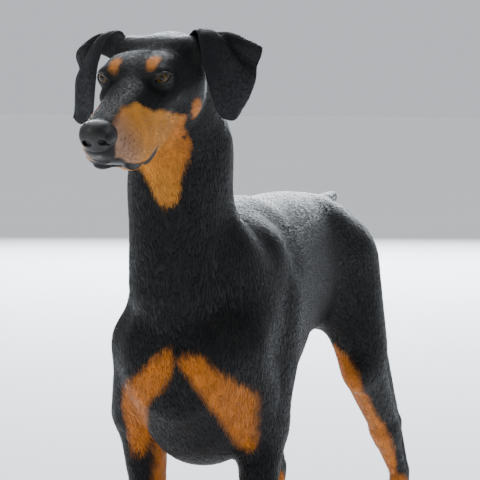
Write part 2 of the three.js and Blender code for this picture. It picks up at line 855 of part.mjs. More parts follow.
// Feet: where they stand and how large they are
const frontFeet = { forward: 204, across: 79, size: { width: 58, length: 66 } };
const hindFeet = { forward: -362, size: { width: 52, length: 60 } };

const allPieces = [...bodyPieces(), ...headPieces()];
const feet = [];
for (const side of [1, -1]) {
  const hindShift = side > 0 ? 0 : hindStep;
  const hindAcross = side > 0 ? 90 : -100;
  const frontAcross = side * frontFeet.across + stanceShift;
  const hindForward = hindFeet.forward + hindShift;
  feet.push({ side, name: 'front', across: frontAcross, forward: frontFeet.forward, ...frontFeet.size });
  feet.push({ side, name: 'hind', across: hindAcross, forward: hindForward, ...hindFeet.size });
}
for (const foot of feet) {
  allPieces.push(...pawPieces(foot.forward, foot.across, foot));
}
const field = joinedField(allPieces);
const dense = meshField(field, at(-156, 584, -6), at(141, -476, 900), 6);
const aboveFloor = block([0, 0, 500], [600, 1400, 1000], 0);
let rest = solidFrom(thinMesh(dense, bodyTriangles, fineness)).intersect(aboveFloor);
const finished = [];

// Takes a block's share off the rest and keeps it as a part of its own
function takePart(name, centre, size, tilt) {
  const { part, rest: remaining } = partOff(rest, centre, size, tilt);
  rest = remaining;
  finished.push({ name, solid: part });
}

// The head starts behind the skull and the jaw; the neck ends at the withers and the breast
const headFace = at(0, 312, 794);
const neckFace = at(0, 150, 650);
function slabCentre(face, tilt, depth) {
  const turn = tilt * Math.PI / 180;
  return [face[0], face[1] - Math.cos(turn) * depth / 2, face[2] - Math.sin(turn) * depth / 2];
}
takePart('head', slabCentre(headFace, -29.6, 300), [400, 300, 400], -29.6);
takePart('neck', slabCentre(neckFace, -51.8, 300), [400, 300, 420], -51.8);
takePart('tail', at(0, -358, 650), [80, 80, 90], 0);
for (const foot of feet) {
  const word = foot.side > 0 ? 'left' : 'right';
  const front = foot.name === 'front';
  const wristLevel = front ? 106 : 76;
  const legTop = front ? 346 : 434;
  const inner = front ? foot.across - foot.side * 34 : foot.side * 4;
  const width = front ? 110 : 150;
  const middle = inner + foot.side * width / 2;
  const legForward = front ? 185 : -310 + (foot.side > 0 ? 0 : hindStep / 2);
  const legDepth = front ? 230 : 330;
  takePart(`${word}_${foot.name}_paw`, at(middle, legForward, wristLevel / 2 - 10),
    [width, legDepth, wristLevel + 20], 0);
  takePart(`${word}_${foot.name}_leg`, at(middle, legForward, (wristLevel + jointGap + legTop) / 2),
    [width, legDepth, legTop - wristLevel - jointGap], 0);
}
finished.push({ name: 'trunk', solid: rest });

const find = (name) => finished.find((entry) => entry.name === name);

// Nose leather comes off the end of the muzzle
const headEntry = find('head');
const noseCut = partOff(headEntry.solid, onHead(0, 163, 12), [80, 60, 60], headPitch);
headEntry.solid = noseCut.rest;
finished.push({ name: 'nose', solid: noseCut.part, finish: 'leather' });

// Eyes are sunk by about half into the sides of the brow
for (const side of [1, -1]) {
  const centre = onHead(side * 37.5, eyesBehind, eyesAbove);
  headEntry.solid = headEntry.solid.subtract(ball(centre, eyeRadius + jointGap, 12));
  finished.push({ name: side > 0 ? 'left_eye' : 'right_eye', solid: ball(centre, eyeRadius, 12), finish: 'eye' });
}

// Ears stand clear of the head by the gap
const headRoom = swollen(headEntry.solid, 0.4);
const neckRoom = swollen(find('neck').solid, 0.4);
for (const side of [1, -1]) {
  const cutEar = ear(side).subtract(headRoom).subtract(neckRoom);
  finished.push({ name: side > 0 ? 'left_ear' : 'right_ear', solid: cutEar });
}

// Claws leave the ends of the toes, four to a foot
for (const foot of feet) {
  const word = foot.side > 0 ? 'left' : 'right';
  const paw = find(`${word}_${foot.name}_paw`);
  for (const toe of toePlaces(foot.forward, foot.across, foot)) {
    const root = [toe.tip[0], toe.tip[1] - 5, toe.tip[2] + 2];
    const behind = [root[0], root[1] + 0.4, root[2]];
    const made = claw(root, 1, 0.3, 3.4, 13, toe.share);
    paw.solid = paw.solid.subtract(claw(behind, 1, 0.3, 3.75, 13.6, toe.share));
    finished.push({ name: `${word}_${foot.name}_claw_${toe.number}`, solid: made, finish: 'claw' });
  }
}

for (const { name, solid, finish } of finished) {
  addNode(name, solid, finish ?? 'coat');
}

export default group;
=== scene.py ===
import math

import bpy
import numpy as np
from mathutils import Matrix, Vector
from mathutils.bvhtree import BVHTree


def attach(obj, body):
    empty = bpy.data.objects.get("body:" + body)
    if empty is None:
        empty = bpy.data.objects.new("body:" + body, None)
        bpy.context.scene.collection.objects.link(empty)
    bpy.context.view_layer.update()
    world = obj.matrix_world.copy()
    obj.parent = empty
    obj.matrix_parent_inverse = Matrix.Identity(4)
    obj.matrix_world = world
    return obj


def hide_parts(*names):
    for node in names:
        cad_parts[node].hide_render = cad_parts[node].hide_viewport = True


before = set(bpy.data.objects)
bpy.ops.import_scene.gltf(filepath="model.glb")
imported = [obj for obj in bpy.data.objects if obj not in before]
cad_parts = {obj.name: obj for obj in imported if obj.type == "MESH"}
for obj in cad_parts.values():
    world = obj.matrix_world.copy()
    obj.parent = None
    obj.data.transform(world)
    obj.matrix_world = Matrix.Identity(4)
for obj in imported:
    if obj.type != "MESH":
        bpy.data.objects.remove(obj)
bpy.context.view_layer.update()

# Driving sizes in millimetres, the same as the solids'
head_pitch = 27.5
head_turn = 3.0
head_left = 1.0
eye_level = 826.0
eyes_forward = 404.0
eye_radius = 11.5
eyes_behind = 6.0
eyes_above = 4.0
stance_shift = -11.0
hind_step = 35.0
middle_left = -8.9
middle_forward = 47.5
coat_depth = 1.4
cell = 4.6
random = np.random.default_rng(7)

# Places on the dog and on its head, as in the solids
def at(left, forward, up):
    return np.array([left - middle_left, middle_forward - forward, up], dtype=float)


pitch_sine = math.sin(math.radians(head_pitch))
pitch_cosine = math.cos(math.radians(head_pitch))
turn_sine = math.sin(math.radians(head_turn))
turn_cosine = math.cos(math.radians(head_turn))


def on_head(left, forward, up):
    ahead = forward * pitch_cosine + up * pitch_sine
    return at(
        head_left + left * turn_cosine - ahead * turn_sine,
        eyes_forward + left * turn_sine + ahead * turn_cosine,
        eye_level - forward * pitch_sine + up * pitch_cosine,
    )


def dog_places(points):
    return np.stack([points[:, 0] + middle_left, middle_forward - points[:, 1], points[:, 2]], axis=1)


def head_places(points):
    sideways = points[:, 0] + middle_left - head_left
    ahead = middle_forward - points[:, 1] - eyes_forward
    left = sideways * turn_cosine + ahead * turn_sine
    front = ahead * turn_cosine - sideways * turn_sine
    up = points[:, 2] - eye_level
    forward = front * pitch_cosine - up * pitch_sine
    return np.stack([left, forward, front * pitch_sine + up * pitch_cosine], axis=1)


head_across = on_head(1, 0, 0) - on_head(0, 0, 0)
head_ahead = on_head(0, 1, 0) - on_head(0, 0, 0)
head_up = on_head(0, 0, 1) - on_head(0, 0, 0)


# Field pieces: a distance function, its blend, and its box
def bone(a, b, start_radius, end_radius, blend):
    axis = b - a
    square = float(axis @ axis)
    slope = start_radius - end_radius
    reach = square - slope * slope

    def distance(points):
        p = points - a
        along = p @ axis
        beyond = along - square
        off = p * square - along[:, None] * axis
        across = np.einsum("ij,ij->i", off, off)
        along_square = along * along * square
        beyond_square = beyond * beyond * square
        turn = np.sign(slope) * slope * slope * across
        value = (np.sqrt(across * reach / square) + along * slope) / square - start_radius
        start = np.sqrt(across + along_square) / square - start_radius
        end = np.sqrt(across + beyond_square) / square - end_radius
        value = np.where(np.sign(along) * reach * along_square < turn, start, value)
        return np.where(np.sign(beyond) * reach * beyond_square > turn, end, value)

    radius = max(start_radius, end_radius)
    return distance, blend, np.minimum(a, b) - radius, np.maximum(a, b) + radius


def egg(centre, radii, tilt, turn, blend):
    ct = math.cos(math.radians(tilt))
    st = math.sin(math.radians(tilt))
    cw = math.cos(math.radians(turn))
    sw = math.sin(math.radians(turn))
    sizes = np.array(radii, dtype=float)

    def distance(points):
        px = points[:, 0] - centre[0]
        ps = centre[1] - points[:, 1]
        pz = points[:, 2] - centre[2]
        front = px * sw + ps * cw
        local = np.stack([px * cw - ps * sw, front * ct - pz * st, front * st + pz * ct], axis=1) / sizes
        size = np.linalg.norm(local, axis=1)
        steep = np.linalg.norm(local / sizes, axis=1)
        return size * (size - 1) / np.maximum(steep, 1e-9)

    return distance, blend, centre - sizes.max(), centre + sizes.max()


def station_values(stations, place):
    table = np.array(stations, dtype=float)
    last = len(table) - 1
    kept = np.clip(place, table[0, 0], table[last, 0])
    i = np.clip(np.searchsorted(table[:, 0], kept, side="left") - 1, 0, last - 1)
    before = table[np.maximum(i - 1, 0)]
    start = table[i]
    end = table[i + 1]
    after = table[np.minimum(i + 2, last)]
    span = (end[:, 0] - start[:, 0])[:, None]
    t = ((kept - start[:, 0])[:, None]) / span
    leave = span * (end - before) / (end[:, :1] - before[:, :1])
    arrive = span * (after - start) / (after[:, :1] - start[:, :1])
    values = start * (1 + 2 * t) * (1 - t) ** 2 + leave * t * (1 - t) ** 2
    values = values + end * t * t * (3 - 2 * t) + arrive * t * t * (t - 1)
    return values[:, 1:].T


def hull(stations, squareness, to_local, low, high, blend):
    first = stations[0][0]
    last = stations[-1][0]

    def distance(points):
        left, forward, up = to_local(points).T
        top, bottom, width = station_values(stations, forward)
        middle = (top + bottom) / 2
        height = (top - bottom) / 2
        ax = np.abs(left) / width
        az = np.abs(up - middle) / height
        size = (ax ** squareness + az ** squareness) ** (1 / squareness)
        side = (size - 1) * np.minimum(width, height)
        end = np.maximum(np.maximum(first - forward, forward - last), 0)
        beyond = np.hypot(np.maximum(side, 0), end) + np.minimum(side, 0) * 0.2
        return np.where(end > 0, beyond, side)

    return distance, blend, low, high


trunk_stations = [
    [-305, 608, 525, 32],
    [-265, 638, 485, 60],
    [-205, 654, 455, 76],
    [-140, 662, 446, 78],
    [-50, 662, 430, 85],
    [40, 656, 380, 97],
    [120, 642, 334, 101],
    [190, 620, 313, 96],
    [245, 590, 335, 82],
    [285, 540, 400, 54],
]

muzzle_stations = [
    [-30, 16, -72, 47],
    [10, 12, -81, 41],
    [40, 9.5, -83, 36],
    [75, 8.5, -78, 32],
    [105, 7.5, -66, 28.5],
    [128, 6.5, -50, 23],
]


def body_pieces():
    pieces = [
        hull(trunk_stations, 2.2, dog_places, at(-115, 300, 300), at(115, -340, 680), 0),
        # breastbone and withers
        bone(at(0, 262, 490), at(0, 262, 420), 44, 40, 40),
        bone(at(0, 156, 602), at(0, 60, 614), 42, 40, 40),
        # neck: core, nape and throat
        bone(at(0, 302, 800), at(-3.5, 267, 690), 52, 58.5, 20),
        bone(at(-3.5, 267, 690), at(-4, 226, 566), 58.5, 74, 20),
        bone(at(2, 270, 792), at(2, 244, 738), 45, 49, 28),
        bone(at(2, 244, 738), at(0, 190, 590), 49, 40, 30),
        bone(at(-2, 333, 762), at(-4, 272, 560), 34, 60, 30),
        # tail stub
        bone(at(0, -275, 626), at(0, -312, 636), 22, 14, 12),
        bone(at(0, -312, 636), at(0, -340, 642), 14, 10, 3),
    ]
    for side in (1, -1):
        arm = 66 if side > 0 else -101
        leg = side * 80 + stance_shift
        lead = 0 if side > 0 else 10
        hip = 0 if side > 0 else hind_step
        out = 90 if side > 0 else -100
        pieces += [
            # shoulder blade, point of shoulder, upper arm, triceps and breast muscle
            bone(at(side * 46, 124, 590), at(side * 62 - 4, 228, 486), 34, 40, 35),
            egg(at(side * 44, 206, 575), [42, 50, 66], 20, 0, 30),
            bone(at(side * 62 - 4, 236, 474), at(arm, 168 + lead, 380), 39, 36, 22),
            bone(at(side * 62 - 6, 100, 520), at(arm, 140 + lead, 378), 42, 34, 25),
            egg(at(side * 36 - 3, 262, 455), [44, 44, 68], 12, 0, 22),
            # elbow and forearm
            egg(at(arm + side * 10, 122 + lead, 356), [16, 18, 28], -20, 0, 12),
            bone(at(arm, 148 + lead, 356), at(leg - side * 2, 168, 262), 34, 24, 16),
            bone(at(leg - side * 2, 168, 262), at(leg - side * 5, 176, 140), 23.5, 16.5, 10),
            # wrist and pastern
            bone(at(leg - side * 5, 177, 138), at(leg - side * 5, 178, 108), 18.5, 17.5, 8),
            bone(at(leg - side * 5, 178, 108), at(leg - side * 3, 196, 42), 16.5, 17.5, 8),
            # croup, thigh and seat bone
            bone(at(side * 38, -186, 598), at(side * 38, -258, 566), 40, 38, 35),
            bone(at(side * 52, -222, 558), at(side * 82, -236 + hip, 420), 56, 39, 35),
            bone(at(side * 52, -254, 542), at(side * 75, -272 + hip, 430), 43, 32, 30),
            # knee, lower thigh and heel string
            egg(at(side * 86, -220 + hip, 386), [23, 26, 30], 0, 0, 16),
            bone(at(side * 84, -246 + hip, 388), at(out, -348 + hip, 276), 34, 21, 18),
            bone(at(side * 78, -304 + hip, 405), at(out, -374 + hip, 292), 25, 13, 22),
            bone(at(out, -334 + hip, 284), at(out + side * 2, -402 + hip, 206), 22, 14, 14),
            bone(at(out, -376 + hip, 292), at(out + side * 2, -424 + hip, 208), 13, 11, 10),
            # hock and rear pastern
            egg(at(out + side * 2, -412 + hip, 198), [14.5, 23, 22], -20, 0, 8),
            bone(at(out + side * 2, -404 + hip, 188), at(out + side, -392 + hip, 140), 16, 14.5, 8),
            bone(at(out + side, -392 + hip, 140), at(out, -378 + hip, 44), 14.5, 16.5, 8),
        ]
    return pieces


def head_pieces():
    pieces = [
        # skull, nape of the skull and lower jaw
        egg(on_head(0, -48, -22), [54, 74, 42], head_pitch, -head_turn, 16),
        egg(on_head(0, -88, -20), [38, 34, 30], head_pitch, -head_turn, 20),
        bone(on_head(-37, -64, 4), on_head(37, -64, 4), 17, 17, 14),
        hull(muzzle_stations, 2.5, head_places, at(-50, 560, 700), at(50, 330, 850), 14),
        bone(on_head(0, -34, -62), on_head(0, 64, -74), 34, 17, 16),
        # nose and upper lip
        egg(on_head(0, 129, -6), [19.5, 16, 15.5], head_pitch, -head_turn, 5),
        egg(on_head(0, 122, -26), [23, 20, 19], head_pitch, -head_turn, 8),
        bone(on_head(0, 96, -46), on_head(0, 118, -38), 15, 11, 6),
    ]
    for side in (1, -1):
        pieces += [
            # brow, cheekbone, chewing muscle and hanging lip
            egg(on_head(side * 27, -10, 9), [20, 25, 13], head_pitch, side * -12 - head_turn, 16),
            bone(on_head(side * 39, 14, -20), on_head(side * 50, -42, -22), 12, 15, 16),
            egg(on_head(side * 38, -42, -40), [22, 36, 36], head_pitch, -head_turn, 16),
            egg(on_head(side * 20, 82, -46), [14, 38, 31], head_pitch - 6, side * 4 - head_turn, 12),
            egg(on_head(side * 21, 56, -58), [11, 28, 25], head_pitch, side * 6 - head_turn, 10),
            # root of the ear
            egg(on_head(side * 44, -70, -2), [16, 24, 17], head_pitch, -head_turn, 18),
        ]
    return pieces


def toe_places(forward, across, width, length):
    places = []
    for number in range(4):
        share = (number - 1.5) / 1.5
        inner = number in (1, 2)
        x = across + share * width * 0.36
        reach = forward + length * (0.3 if inner else 0.14)
        places.append({
            "share": share,
            "start": at((x + across) / 2, forward - 12, 28),
            "arch": at(x, reach - 10, 21),
            "tip": at(x + share * 2, reach + 4, 9.5),
        })
    return places


# Feet: forward, across, width, length
feet = []
for side in (1, -1):
    hind_across = 90 if side > 0 else -100
    hind_forward = -362 + (0 if side > 0 else hind_step)
    feet.append((204, side * 79 + stance_shift, 58, 66))
    feet.append((hind_forward, hind_across, 52, 60))


def paw_pieces(forward, across, width, length):
    pieces = [
        egg(at(across, forward - 12, 30), [width * 0.4, length * 0.42, 22], 12, 0, 10),
        egg(at(across, forward - 16, 12), [width * 0.3, length * 0.2, 14], 0, 0, 8),
    ]
    for toe in toe_places(forward, across, width, length):
        pieces.append(bone(toe["start"], toe["arch"], 10, 11.5, 8))
        pieces.append(bone(toe["arch"], toe["tip"], 11.5, 9.8, 3))
    return pieces


all_pieces = body_pieces() + head_pieces()
for foot in feet:
    all_pieces += paw_pieces(*foot)

piece_reach = 45.0
piece_lows = np.array([np.minimum(piece[2], piece[3]) for piece in all_pieces]) - piece_reach
piece_highs = np.array([np.maximum(piece[2], piece[3]) for piece in all_pieces]) + piece_reach


# The joined field at a compact set of points, each piece only near its own box
def joined_close(points):
    value = np.full(len(points), 60.0)
    low = points.min(axis=0)
    high = points.max(axis=0)
    touching = np.flatnonzero(np.all((piece_lows <= high) & (piece_highs >= low), axis=1))
    for i in touching:
        distance, blend = all_pieces[i][:2]
        near = np.all((points >= piece_lows[i]) & (points <= piece_highs[i]), axis=1)
        if not near.any():
            continue
        found = distance(points[near])
        kept = value[near]
        width = max(blend, 0.01)
        overlap = np.maximum(width - np.abs(kept - found), 0) / width
        value[near] = np.minimum(kept, found) - overlap * overlap * width / 4
    return value


# The joined field anywhere: points are sorted into compact groups first
def joined(points):
    if np.ptp(points, axis=0).max() < 90:
        return joined_close(points)
    group_size = 70.0
    boxes = np.floor(points / group_size).astype(np.int64)
    key = (boxes[:, 0] * 1000 + boxes[:, 1]) * 1000 + boxes[:, 2]
    order = np.argsort(key, kind="stable")
    cuts = np.flatnonzero(np.diff(key[order])) + 1
    value = np.empty(len(points))
    for group in np.split(order, cuts):
        value[group] = joined_close(points[group])
    return value


def smooth_cut(value, cutter, width):
    overlap = np.maximum(width - np.abs(value + cutter), 0) / width
    return np.maximum(value, -cutter) + overlap * overlap * width / 4


# Eyes are sunk by about half into the sides of the brow
eye_centres = {side: on_head(side * 37.5, eyes_behind, eyes_above) for side in (1, -1)}


# Grid to world: cells shrink around the face, again around each eye, and close to the floor
lens_centre = on_head(0, 20, -20)
lens_keep = 0.42
lens_reach = 165.0
eye_keep = 0.3
eye_reach = 34.0
floor_keep = 0.5
floor_reach = 45.0


def drawn_in(size):
    return size - (1 - eye_keep) * size / np.sqrt(1 + (size / eye_reach) ** 2)


# The first eye's lens is set so that the second one carries it onto the eye
eye_gap = np.linalg.norm(eye_centres[1] - eye_centres[-1])
first_gap = eye_gap
for _ in range(40):
    first_gap += eye_gap - drawn_in(first_gap)
first_lens = eye_centres[-1] + (eye_centres[1] - eye_centres[-1]) * first_gap / eye_gap


def grid_to_world(q):
    off = q - lens_centre
    size = np.linalg.norm(off, axis=1)
    shrunk = size - (1 - lens_keep) * lens_reach * (1 - np.exp(-size / lens_reach))
    p = lens_centre + off * (shrunk / np.maximum(size, 1e-9))[:, None]
    for centre in (first_lens, eye_centres[-1]):
        off = p - centre
        size = np.maximum(np.linalg.norm(off, axis=1), 1e-9)
        p = centre + off * (drawn_in(size) / size)[:, None]
    lift = (1 - floor_keep) * floor_reach
    height = np.maximum(p[:, 2] + lift, 0)
    low = height - lift * (1 - np.exp(-height / floor_reach))
    p[:, 2] = np.where(p[:, 2] + lift > 0, low, (p[:, 2] + lift) * floor_keep)
    return p


# The eye's own directions: across the opening, up the face, and out along the gaze
def eye_places(points, side):
    aim = head_ahead * 0.84 + head_across * side * 0.38 + head_up * 0.24
    aim = aim / np.linalg.norm(aim)
    across = np.cross(aim, head_up) * -side
    across = across / np.linalg.norm(across)
    tilt = math.radians(9)
    up = np.cross(aim, across) * side
    up = up / np.linalg.norm(up)
    across, up = across * math.cos(tilt) + up * math.sin(tilt), up * math.cos(tilt) - across * math.sin(tilt)
    off = points - eye_centres[side]
    return off @ across, off @ up, off @ aim, (across, up, aim)


# Opening of the lids
lid_half_width = 10.4
lid_rise = 6.4
lid_drop = 6.0
lid_round = 2.7
lid_thickness = 2.1
lid_blend = 7.0


def lid_opening(along, rise):
    share = np.clip(np.abs(along) / lid_half_width, 0, 1)
    edge = np.where(rise > 0, lid_rise, lid_drop) * (1 - share ** lid_round)
    return np.maximum(np.abs(rise) - edge, (np.abs(along) - lid_half_width) * 0.8)


# Line between the lips, forward and up on the head
mouth_line = [(139, -32), (128, -44), (117, -54), (104, -63), (84, -72), (66, -77), (50, -77), (37, -75)]
mouth_groove = 1.8


def distance_to_line(x, y, line):
    best = np.full(len(x), 1e9)
    for (x0, y0), (x1, y1) in zip(line[:-1], line[1:]):
        run_x = x1 - x0
        run_y = y1 - y0
        t = np.clip(((x - x0) * run_x + (y - y0) * run_y) / (run_x ** 2 + run_y ** 2), 0, 1)
        best = np.minimum(best, np.hypot(x - x0 - t * run_x, y - y0 - t * run_y))
    return best


def mouth_distance(points):
    _, forward, up = head_places(points).T
    return distance_to_line(forward, up, mouth_line)


# The skin's own field: the body's, drawn in by the coat, with eye openings, lids and the groove of the mouth
def skin_field(points):
    value = joined(points) + coat_depth
    face_radius = 190
    face = np.linalg.norm(points - lens_centre, axis=1) < face_radius
    if face.any():
        p = points[face]
        v = value[face]
        for side in (1, -1):
            along, rise, depth, _ = eye_places(p, side)
            ball = np.sqrt(along ** 2 + rise ** 2 + depth ** 2)
            lids = ball - (eye_radius + lid_thickness)
            overlap = np.maximum(lid_blend - np.abs(v - lids), 0) / lid_blend
            v = np.minimum(v, lids) - overlap * overlap * lid_blend / 4
            opening = np.maximum(lid_opening(along, rise), -depth)
            v = smooth_cut(v, opening, 1.6)
            v = smooth_cut(v, ball - (eye_radius - 0.8), 0.5)
        v = v + mouth_groove * np.exp(-(mouth_distance(p) / 2.4) ** 2)
        value[face] = v
    return np.maximum(value, -points[:, 2] + 0.6)


# Samples the field block by block, skipping blocks far from the surface
def sample_field(low, high):
    size = np.ceil((high - low) / cell).astype(int) + 1
    block = 12
    size = ((size + block - 1) // block) * block
    values = np.full(size, 50.0, dtype=np.float32)
    steps = np.stack(np.meshgrid(*[np.arange(block)] * 3, indexing="ij"), axis=-1).reshape(-1, 3)
    starts = np.stack(np.meshgrid(*[np.arange(0, n, block) for n in size], indexing="ij"), axis=-1)
    starts = starts.reshape(-1, 3)
    middles = grid_to_world(low + (starts + (block - 1) / 2) * cell)
    rough = joined(middles)
    reach = cell * block * 0.5 * math.sqrt(3) + 8
    for start, middle_value in zip(starts, rough):
        place = tuple(slice(int(s), int(s) + block) for s in start)
        if middle_value > reach * 1.15 or middle_value < -reach * 1.6:
            values[place] = 50.0 if middle_value > 0 else -50.0
            continue
        points = grid_to_world(low + (start + steps) * cell)
        values[place] = skin_field(points).reshape(block, block, block)
    return values


# A mesh round the places below zero: a point in each cell that the surface crosses
def surface_net(values, low, step):
    inside = values < 0
    corners = np.array([(x, y, z) for x in (0, 1) for y in (0, 1) for z in (0, 1)])
    n = np.array(values.shape) - 1
    total = np.zeros(n, dtype=np.uint8)
    for x, y, z in corners:
        total += inside[x:n[0] + x, y:n[1] + y, z:n[2] + z]
    active = (total > 0) & (total < 8)
    cells = np.argwhere(active)
    at_corner = np.stack([values[tuple((cells + corner).T)] for corner in corners], axis=1)
    summed = np.zeros((len(cells), 3))
    count = np.zeros(len(cells))
    for a in range(8):
        for b in range(a + 1, 8):
            if np.abs(corners[a] - corners[b]).sum() != 1:
                continue
            va = at_corner[:, a]
            vb = at_corner[:, b]
            crosses = (va < 0) != (vb < 0)
            share = np.where(crosses, va / np.where(crosses, va - vb, 1), 0)
            place = corners[a] + (corners[b] - corners[a]) * share[:, None]
            summed += place * crosses[:, None]
            count += crosses
    points = low + (cells + summed / count[:, None]) * step
    number = np.full(n, -1, dtype=np.int64)
    number[tuple(cells.T)] = np.arange(len(cells))
    quads = []
    for axis in range(3):
        near = [slice(None)] * 3
        far = [slice(None)] * 3
        near[axis] = slice(0, -1)
        far[axis] = slice(1, None)
        one = inside[tuple(near)]
        two = inside[tuple(far)]
        edges = np.argwhere(one != two)
        b, c = [k for k in range(3) if k != axis]
        keep = (edges[:, b] > 0) & (edges[:, c] > 0) & (edges[:, b] < n[b]) & (edges[:, c] < n[c])
        edges = edges[keep]
        ring = []
        for db, dc in ((1, 1), (0, 1), (0, 0), (1, 0)):
            place = edges.copy()
            place[:, b] -= db
            place[:, c] -= dc
            ring.append(number[tuple(place.T)])
        quad = np.stack(ring, axis=1)
        flip = one[tuple(edges.T)] == (axis == 1)
        quad[flip] = quad[flip][:, ::-1]
        quads.append(quad)
    return points, np.concatenate(quads)


def value_and_slope(field, points):
    step = 0.4
    ways = np.array([[1, 1, 1], [1, -1, -1], [-1, 1, -1], [-1, -1, 1]], dtype=float)
    found = np.stack([field(points + way * step) for way in ways], axis=1)
    return found.mean(axis=1), found @ ways / (4 * step)


# Points moved onto the field's zero in two short steps
def settled(field, points, limit):
    for _ in range(2):
        value, slope = value_and_slope(field, points)
        square = np.maximum((slope ** 2).sum(axis=1), 0.05)
        move = slope * (value / square)[:, None]
        size = np.linalg.norm(move, axis=1)
        points = points - move * np.minimum(1, limit / np.maximum(size, 1e-9))[:, None]
    return points


def make_mesh(name, points, faces):
    mesh = bpy.data.meshes.new(name)
    mesh.vertices.add(len(points))
    mesh.vertices.foreach_set("co", (np.asarray(points, dtype=float) * 0.001).astype(np.float32).ravel())
    faces = np.asarray(faces, dtype=np.int32)
    mesh.loops.add(faces.size)
    mesh.loops.foreach_set("vertex_index", faces.ravel())
    mesh.polygons.add(len(faces))
    mesh.polygons.foreach_set("loop_start", np.arange(0, faces.size, faces.shape[1], dtype=np.int32))
    mesh.polygons.foreach_set("use_smooth", np.full(len(faces), True))
    mesh.update(calc_edges=True)
    made = bpy.data.objects.new(name, mesh)
    bpy.context.scene.collection.objects.link(made)
    return made


grid_low = np.array([-300.0, -640.0, -190.0])
grid_high = np.array([300.0, 640.0, 1030.0])
grid_points, skin_quads = surface_net(sample_field(grid_low, grid_high), grid_low, cell)
skin_points = settled(skin_field, grid_to_world(grid_points), 1.2)

# Ears: rows from the root to the tip, each with its front, middle and back, from between the eyes
ear_rows = np.array([
    [[34, -50, 40], [48, -74, 34], [56, -100, 4]],
    [[44, -58, 53], [66, -86, 46], [86, -110, 24]],
    [[50, -58, 58], [80, -80, 55], [116, -106, 36]],
    [[60, -50, 50], [88, -68, 44], [121, -100, 28]],
    [[70, -46, 22], [94, -66, 14], [117, -98, 2]],
    [[73, -48, -8], [93, -66, -18], [109, -94, -24]],
    [[78, -58, -40], [90, -74, -53], [100, -86, -44]],
], dtype=float)
# The fold across the ear, by share of its width and of its length
crease = [(0.40, 0.34), (0.47, 0.42), (0.58, 0.50), (0.76, 0.58), (1.02, 0.60)]
crease_depth = 5.2
lobe_height = 2.6
ear_wave = 0.9


def ear_place(side, across, along):
    last = len(ear_rows) - 1
    i = np.minimum((along * last).astype(int), last - 1)
    u = (along * last - i)[:, None, None]
    a = ear_rows[np.maximum(i - 1, 0)]
    b = ear_rows[i]
    c = ear_rows[i + 1]
    d = ear_rows[np.minimum(i + 2, last)]
    row = b + 0.5 * u * (c - a + u * (2 * a - 5 * b + 4 * c - d + u * (3 * b - a - 3 * c + d)))
    t = across[:, None]
    place = row[:, 0] * (1 - t) ** 2 + row[:, 1] * 2 * t * (1 - t) + row[:, 2] * t * t
    place = place + (row[:, 1] - (row[:, 0] + row[:, 2]) / 2) * 2 * t * (1 - t)
    spread = 29 * along ** 2 * (0.3 + 0.7 * across) if side < 0 else 0
    drop = 6 * along ** 2 if side < 0 else 0
    tuck = 5.0 * np.exp(-((along - 0.66) / 0.16) ** 2) * (1 - across) ** 3 if side > 0 else 0
    left = head_left + side * (place[:, 0] + spread - tuck)
    return np.stack([
        left - middle_left,
        middle_forward - eyes_forward - place[:, 1],
        eye_level + place[:, 2] - drop,
    ], axis=1)


# A thin closed sheet, with the way its hair lies and how light each point is: a painted sheen on the outer
# side, dimmed by painted shade along the crease, and a low even value on the inner side
def ear_sheet(side):
    columns = 30
    rows = 66
    v, u = np.meshgrid(np.linspace(0, 1, rows + 1), np.linspace(0, 1, columns + 1), indexing="ij")
    u = u.ravel()
    v = v.ravel()
    step = 0.004
    low_u = np.clip(u - step, 0, 1)
    high_u = np.clip(u + step, 0, 1)
    low_v = np.clip(v - step, 0, 1)
    high_v = np.clip(v + step, 0, 1)
    across = ear_place(side, high_u, v) - ear_place(side, low_u, v)
    along = ear_place(side, u, high_v) - ear_place(side, u, low_v)
    inward = np.cross(across, along) * side
    inward = inward / np.linalg.norm(inward, axis=1)[:, None]
    middle = ear_place(side, u, v)
    fold = distance_to_line(u, v, crease)
    crease_level = np.interp(u, [place[0] for place in crease], [place[1] for place in crease])
    behind = (v < crease_level) & (u > crease[0][0])
    fade = np.clip((v - 0.26) / 0.1, 0, 1)
    middle = middle + inward * (crease_depth * np.exp(-(fold / 0.06) ** 2) * fade)[:, None]
    lobe = np.where(behind, np.exp(-((fold - 0.15) / 0.1) ** 2), 0) * np.clip((u - crease[0][0]) / 0.15, 0, 1)
    middle = middle - inward * (lobe_height * lobe * fade)[:, None]
    middle = middle + inward * (ear_wave * np.sin(u * 9 + v * 5) * v)[:, None]
    edge = np.minimum(np.minimum(u, 1 - u) / 0.10, (1 - v) / 0.05)
    half = 0.35 + 0.75 * np.sqrt(np.clip(edge, 0, 1))
    flow = along / np.linalg.norm(along, axis=1)[:, None]
    points = np.concatenate([middle - inward * half[:, None], middle + inward * half[:, None]])
    wide = columns + 1
    layer = wide * (rows + 1)
    j, i = np.meshgrid(np.arange(rows), np.arange(columns), indexing="ij")
    a = (j * wide + i).ravel()
    outer = np.stack([a, a + 1, a + wide + 1, a + wide], axis=1)
    inner = outer[:, ::-1] + layer
    ring = np.concatenate([
        np.arange(0, columns),
        np.arange(0, rows) * wide + columns,
        rows * wide + np.arange(columns, 0, -1),
        np.arange(rows, 0, -1) * wide,
    ])
    ahead = np.roll(ring, -1)
    rim = np.stack([ahead, ring, ring + layer, ahead + layer], axis=1)
    faces = np.concatenate([outer, inner, rim])
    if side > 0:
        faces = faces[:, ::-1]
    # Painted shade along the crease: the outer side's painted sheen fades out in the fold
    painted_crease_shade = np.exp(-(fold / 0.09) ** 2) * fade
    return points, faces, np.concatenate([flow, flow]), np.concatenate([1 - painted_crease_shade, np.full(len(u), 0.2)])


